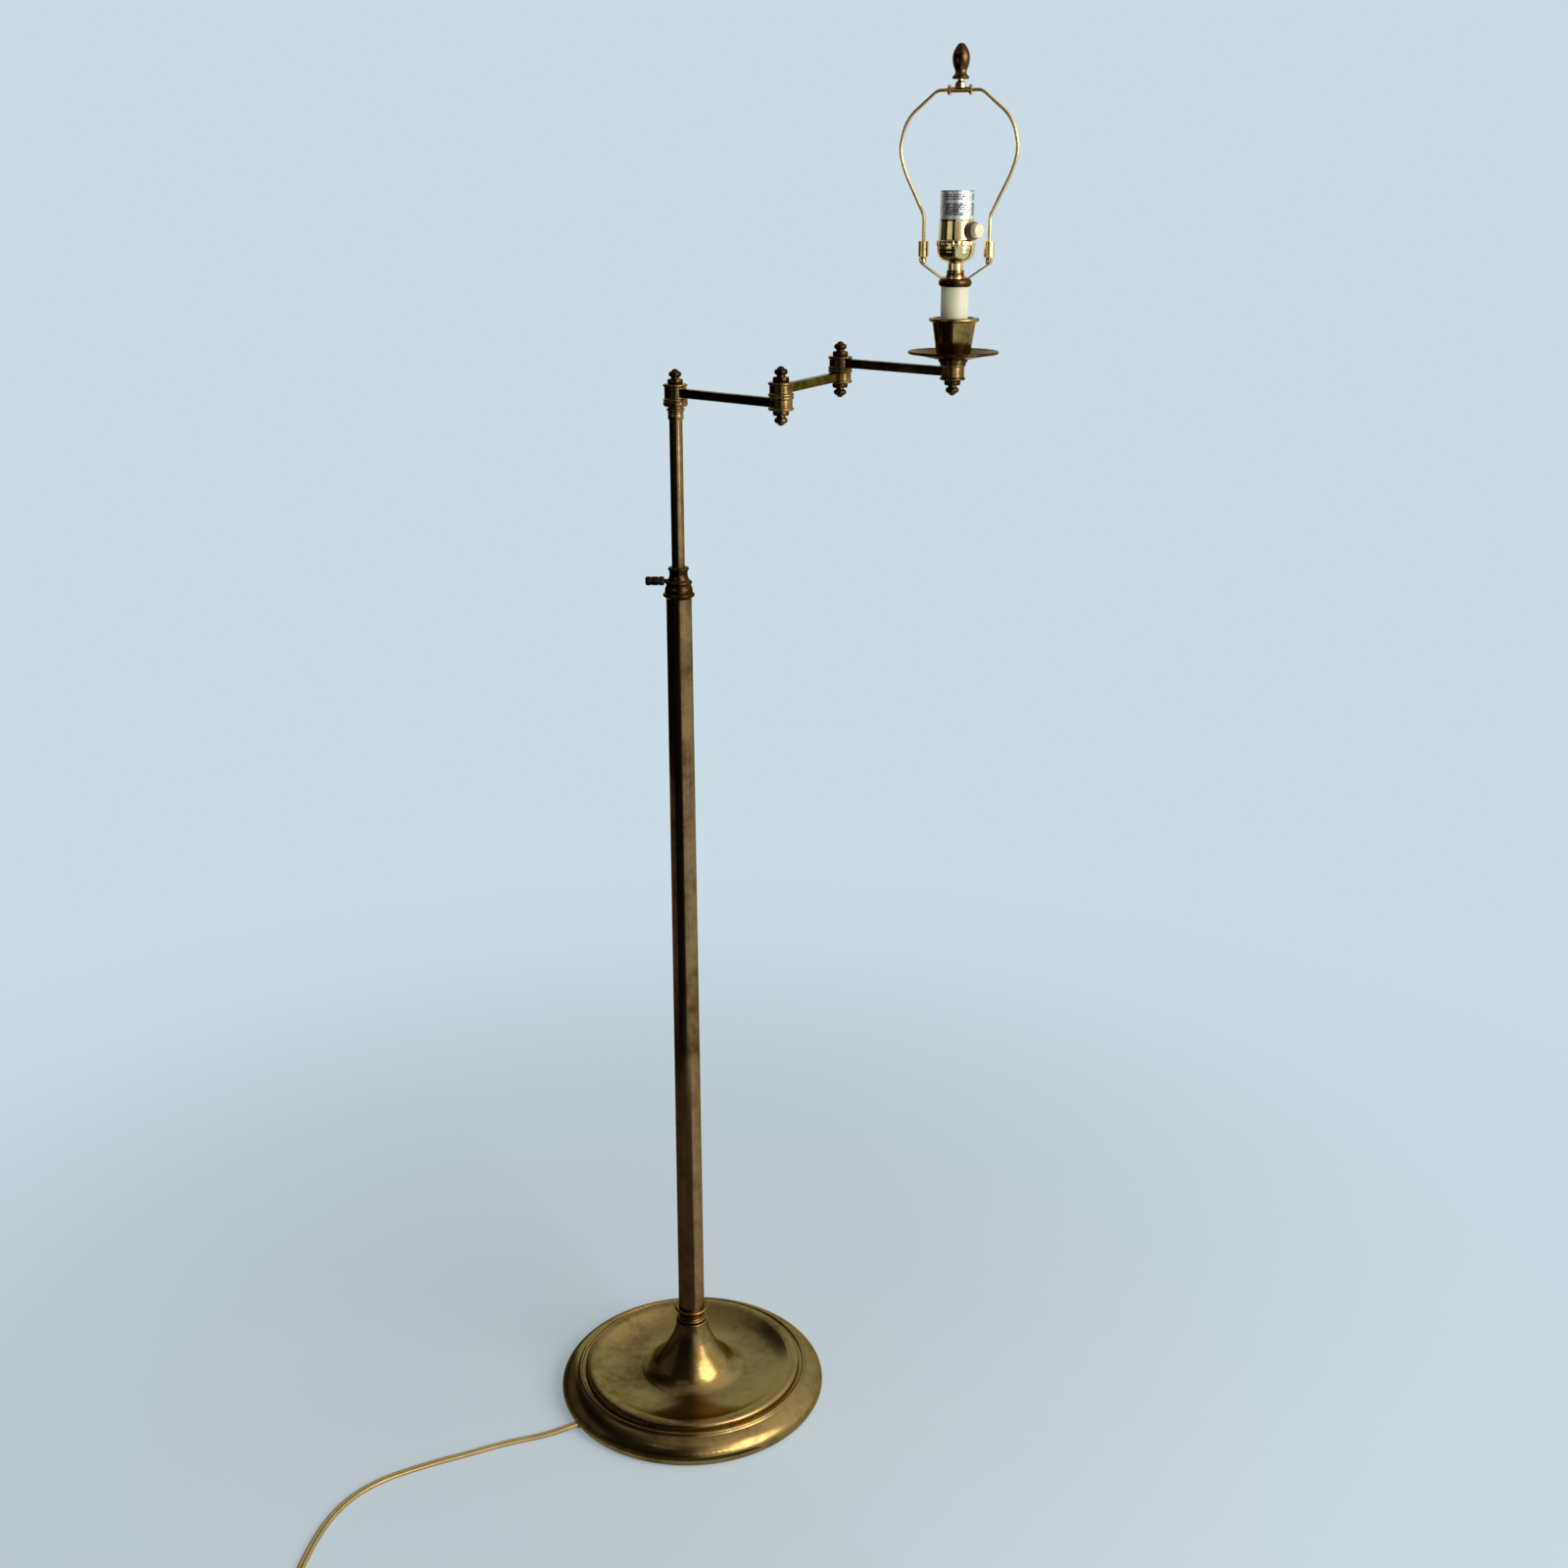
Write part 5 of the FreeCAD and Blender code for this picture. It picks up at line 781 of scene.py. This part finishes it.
def make_saddle():
    """The harp's saddle: an eye, two strips bent up from it and a stepped prong on each end."""
    spread = LEG_SPREAD / MM
    thick, reach = 1.5, spread + 2.3
    # the strip's section: places across it and through it, as shares of half its width and thickness
    section = ((-1, -0.6), (-0.93, -1), (0.93, -1), (1, -0.6), (1, 0.6), (0.93, 1), (-0.93, 1), (-1, 0.6))
    parts = [lathe([(5.3, 0.0), (7.7, 0.0), (7.8, 0.1), (7.8, 1.5), (7.7, 1.6), (5.3, 1.6)], 64)]
    prong = [
        (1.9, 12.4), (2.8, 13.0), (2.9, 13.6), (2.9, 17.7), (2.6, 18.1), (2.2, 18.1), (2.2, 24.0),
        (1.7, 24.6),
    ]
    for side in (1, -1):
        path = rounded([(6.6, 0.8), (12.6, 0.8), (reach, 13.6), (reach, 17.4)], 3.8)
        rings = []
        for index, point in enumerate(path):
            before, after = path[max(index - 1, 0)], path[min(index + 1, len(path) - 1)]
            along = (after - before).normalized()
            face = Vector((-along.y, along.x)) * thick / 2
            wide = 4.5 - 1.7 * eased(point.x, 18.0, reach)
            ring = []
            for across, out in section:
                x, z = point + face * out
                ring.append(Vector((x * side, across * wide, z)) * MM)
            rings.append(ring)
        parts.append(loft(rings))
        vertices, faces = lathe(prong, 40, closed=False)
        parts.append(([v + Vector((side * spread * MM, 0, 0)) for v in vertices], faces))
    vertices, faces = join(*parts)
    place = turned_about(Vector((HEAD.x, HEAD.y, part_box("harp_saddle")[0].z)), HARP_ALONG)
    saddle = add_piece("saddle_strip", vertices, faces, [wire], "head", 40, place)
    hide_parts("harp_saddle")


def make_clamp_screw():
    """The thumbscrew: a fluted dark barrel with a plain waist between two grooves."""
    low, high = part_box("clamp_screw")
    length = (high.x - low.x) / MM
    start, flutes, depth = 7.4, 20, 0.32
    first, second = start + 5.2, length - 5.2
    profile = [
        (1.0, 0.0), (1.9, 0.7), (2.0, 1.2), (2.0, start - 0.6), (2.3, start - 0.2), (3.3, start),
        (4.0, start + 0.35), (4.3, start + 1.0), (4.3, first - 0.8), (4.15, first - 0.5), (3.5, first),
        (3.55, first + 0.3), (4.15, first + 0.7), (4.2, first + 1.1), (4.2, second - 1.1),
        (4.15, second - 0.7), (3.55, second - 0.3), (3.5, second), (4.15, second + 0.5),
        (4.3, second + 0.8), (4.3, length - 1.7), (4.1, length - 0.9), (3.5, length - 0.3),
        (2.6, length), (0.5, length - 0.15),
    ]

    def flute(radius, along, turn):
        waist = eased(along, first - 0.8, first - 0.4) * (1 - eased(along, second + 0.4, second + 0.8))
        share = eased(radius, 3.8, 4.3) * (1 - waist)
        return radius - depth * share * (0.5 - 0.5 * math.cos(turn * flutes)), along

    vertices, faces = lathe(profile, flutes * 8, flute, closed=False)
    place = lying(Vector((high.x, 0, middle("clamp_screw").z)), Vector((-1, 0, 0)))
    screw = add_piece("thumbscrew", vertices, faces, [bronze], "clamp_screw", 40, place)
    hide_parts("clamp_screw")


make_shell()
make_screw_shell()
make_knob()
make_saddle()
make_clamp_screw()


# ---------------------------------------------------------------------------------------------
# Camera, stage and light
# ---------------------------------------------------------------------------------------------

BACKGROUND = (0.60, 0.708, 0.79)

CAMERA_PLACE = (0.0994, -1.697, 1.228)
CAMERA_TILT = 72.3  # degrees, where 90 is level
CAMERA_LENS, CAMERA_SENSOR = 41.85, 36.0

# the distances from the lamp between which the floor fades, and its share of glow at both
FLOOR_FADE, FLOOR_GLOW = (0.2, 1.6), (0.35, 1.0)
# half the floor's side
FLOOR_HALF = 12.0

# the drum that the cards stand on, then the card over the floor: metres and degrees
DRUM_X, DRUM_RADIUS = 0.1, 0.85
CARD_STEPS = 12
FLOOR_CARD_BEARINGS = (-150, 35)
FLOOR_CARD_INNER, FLOOR_CARD_OUTER, FLOOR_CARD_HEIGHT = 0.15, 0.80, 0.001
FLOOR_CARD_LEVEL = 0.08


def make_camera():
    """The camera at the photograph's viewing angle."""
    camera = bpy.data.cameras.new("camera")
    camera.lens = CAMERA_LENS
    camera.sensor_width = CAMERA_SENSOR
    holder = bpy.data.objects.new("camera", camera)
    holder.location = CAMERA_PLACE
    holder.rotation_euler = (math.radians(CAMERA_TILT), 0, 0)
    bpy.context.scene.collection.objects.link(holder)
    bpy.context.scene.camera = holder


def make_floor():
    """A wide pale floor that fades into the background's colour away from the lamp."""
    finish = Finish("floor_paint", Roughness=0.7)
    finish.feed(Base_Color=finish.mixed(finish.noise(5.0, 5.0), (0.74, 0.84, 0.90), (0.78, 0.88, 0.94)))
    x, y, _ = finish.add("SeparateXYZ", {0: finish.place}).outputs
    squares = finish.math("ADD", finish.math("MULTIPLY", x, x), finish.math("MULTIPLY", y, y))
    reach = finish.math("SQRT", squares)
    glow = finish.add("Emission", {"Color": colour(BACKGROUND), "Strength": 1.0}).outputs[0]
    ray = finish.add("LightPath").outputs
    seen = finish.math("ADD", ray["Is Glossy Ray"], ray["Is Transmission Ray"])
    seen = finish.math("MINIMUM", finish.math("ADD", seen, ray["Is Camera Ray"]), 1.0)
    glow_share = finish.ranged(reach, *FLOOR_FADE, *FLOOR_GLOW)
    share = finish.math("MULTIPLY", glow_share, seen)
    both = finish.add("MixShader", {0: share, 1: finish.shader.outputs[0], 2: glow})
    finish.join(finish.tree.nodes["Material Output"].inputs["Surface"], both.outputs[0])
    size = FLOOR_HALF
    corners = [(-size, -size, 0), (size, -size, 0), (size, size, 0), (-size, size, 0)]
    add_stage("floor", corners, [(0, 1, 2, 3)], finish.material)


def add_stage(name, vertices, faces, material):
    """A mesh that belongs to the studio and not to the lamp."""
    mesh = bpy.data.meshes.new(name)
    mesh.from_pydata(vertices, [], faces)
    mesh.materials.append(material)
    piece = bpy.data.objects.new(name, mesh)
    bpy.context.scene.collection.objects.link(piece)
    return piece


def arc_strip(start, end, steps, centre_x, *edges):
    """A strip over bearings in degrees between two edges, each a (radius, height) round centre_x."""
    vertices, faces = [], []
    for step in range(steps + 1):
        bearing = math.radians(start + (end - start) * step / steps)
        for radius, height in edges:
            vertices.append((centre_x + math.sin(bearing) * radius, -math.cos(bearing) * radius, height))
    for near in range(0, 2 * steps, 2):
        faces.append((near, near + 2, near + 3, near + 1))
    return vertices, faces


def make_cards():
    """Studio cards round the lamp that only its reflections show: they shape the metal.

    Each card is a stretch of a wide drum: its first and last bearing, the heights of its foot and
    top, and its brightness. Bearings are degrees from the camera's side, positive towards +X.
    """
    cards = (
        (-140, -70, 0.0, 0.10, 0.004),
        (-140, -70, 0.10, 0.45, 0.10),
        (-155, -70, 0.45, 1.08, 0.004),
        (-70, -52, 0.0, 1.08, 0.004),
        (-52, -14, 0.0, 1.08, 0.008),
        (-14, 2, 0.0, 1.08, 0.025),
        (-125, -77, 1.08, 1.30, 0.05),
        (-77, -58, 1.08, 1.30, 0.01),
        (-58, -22, 1.08, 1.30, 0.75),
        (-22, -4, 1.08, 1.30, 0.01),
        (-4, 14, 1.08, 1.30, 0.45),
        (-125, 14, 1.30, 1.80, 0.02),
    )
    for number, (start, end, foot, top, level) in enumerate(cards):
        wall = arc_strip(start, end, CARD_STEPS, DRUM_X, (DRUM_RADIUS, foot), (DRUM_RADIUS, top))
        add_card(f"card_{number}", *wall, level)
    # one more lies just over the floor on the dark side
    outer, inner = (FLOOR_CARD_OUTER, FLOOR_CARD_HEIGHT), (FLOOR_CARD_INNER, FLOOR_CARD_HEIGHT)
    lying_card = arc_strip(*FLOOR_CARD_BEARINGS, 2 * CARD_STEPS, 0.0, outer, inner)
    add_card("card_floor", *lying_card, FLOOR_CARD_LEVEL)


def add_card(name, vertices, faces, level):
    """A stage piece of an even brightness that only reflections show."""
    finish = bpy.data.materials.new(name)
    finish.use_nodes = True
    shader = finish.node_tree.nodes["Principled BSDF"]
    shader.inputs["Base Color"].default_value = (0, 0, 0, 1)
    shader.inputs["Specular IOR Level"].default_value = 0.0
    shader.inputs["Emission Color"].default_value = (1.0, 0.97, 0.9, 1.0)
    shader.inputs["Emission Strength"].default_value = level
    card = add_stage(name, vertices, faces, finish)
    card.visible_camera = False
    card.visible_diffuse = False
    card.visible_shadow = False
    card.visible_transmission = False
    card.visible_volume_scatter = False


def make_lamp(name, location, target, size, power, tint):
    """A rectangular area lamp that looks at its target; size in metres, power in watts."""
    lamp = bpy.data.lights.new(name, "AREA")
    lamp.shape = "RECTANGLE"
    lamp.size, lamp.size_y = size
    lamp.energy = power
    lamp.color = tint
    holder = bpy.data.objects.new(name, lamp)
    holder.location = location
    holder.rotation_mode = "QUATERNION"
    holder.rotation_quaternion = (Vector(target) - Vector(location)).to_track_quat("-Z", "Z")
    bpy.context.scene.collection.objects.link(holder)


# the dim room's brightness: everywhere, from above, and on the right, which metal sees brighter
ROOM_PLAIN, ROOM_ABOVE = 0.07, 0.18
ROOM_SIDE, ROOM_SIDE_MIRRORED = 0.32, 0.62


def make_world():
    """The background for what is seen or mirrored behind the lamp, and a dim room elsewhere."""
    world = bpy.data.worlds.new("room")
    bpy.context.scene.world = world
    world.use_nodes = True
    room = NodeTree(world.node_tree)
    lit = room.tree.nodes["Background"]

    def clamped(operation, first, second):
        return room.math(operation, first, second, clamped=True)

    x, y, z = room.add("SeparateXYZ", {0: room.add("TexCoord").outputs["Generated"]}).outputs
    ray = room.add("LightPath").outputs
    shine = clamped("ADD", clamped("MULTIPLY", ray["Is Glossy Ray"], ROOM_SIDE_MIRRORED), ROOM_SIDE)
    side = clamped("MULTIPLY", room.ranged(x, -0.15, 0.50), shine)
    above = room.ranged(z, 0.2, 1.0, 0.0, ROOM_ABOVE)
    room.join(lit.inputs["Strength"], clamped("ADD", clamped("ADD", side, above), ROOM_PLAIN))
    room.join(lit.inputs["Color"], colour((1.0, 0.99, 0.97)))

    backdrop = room.add("Background", {"Color": colour(BACKGROUND), "Strength": 1.0})
    behind = room.ranged(y, 0.25, 0.65)
    low = room.ranged(z, 0.45, 0.80, 1.0, 0.25)
    mirrored = clamped("ADD", ray["Is Glossy Ray"], ray["Is Transmission Ray"])
    mirrored = clamped("MULTIPLY", clamped("MULTIPLY", mirrored, behind), low)
    seen = clamped("ADD", ray["Is Camera Ray"], mirrored)
    both = room.add("MixShader", {0: seen, 1: lit.outputs[0], 2: backdrop.outputs[0]})
    room.join(room.tree.nodes["World Output"].inputs["Surface"], both.outputs[0])


make_camera()
make_floor()
make_cards()
make_world()
make_lamp(
    "key",
    location=(2.05, -1.5, 1.7),
    target=(0.05, 0.0, 0.7),
    size=(1.8, 2.0),
    power=56.0,
    tint=(1.0, 0.97, 0.92),
)
make_lamp(
    "fill",
    location=(-2.2, -1.6, 2.2),
    target=(0.0, 0.0, 0.6),
    size=(1.6, 1.6),
    power=3.0,
    tint=(0.92, 0.96, 1.0),
)
bpy.context.scene.view_settings.view_transform = "Standard"
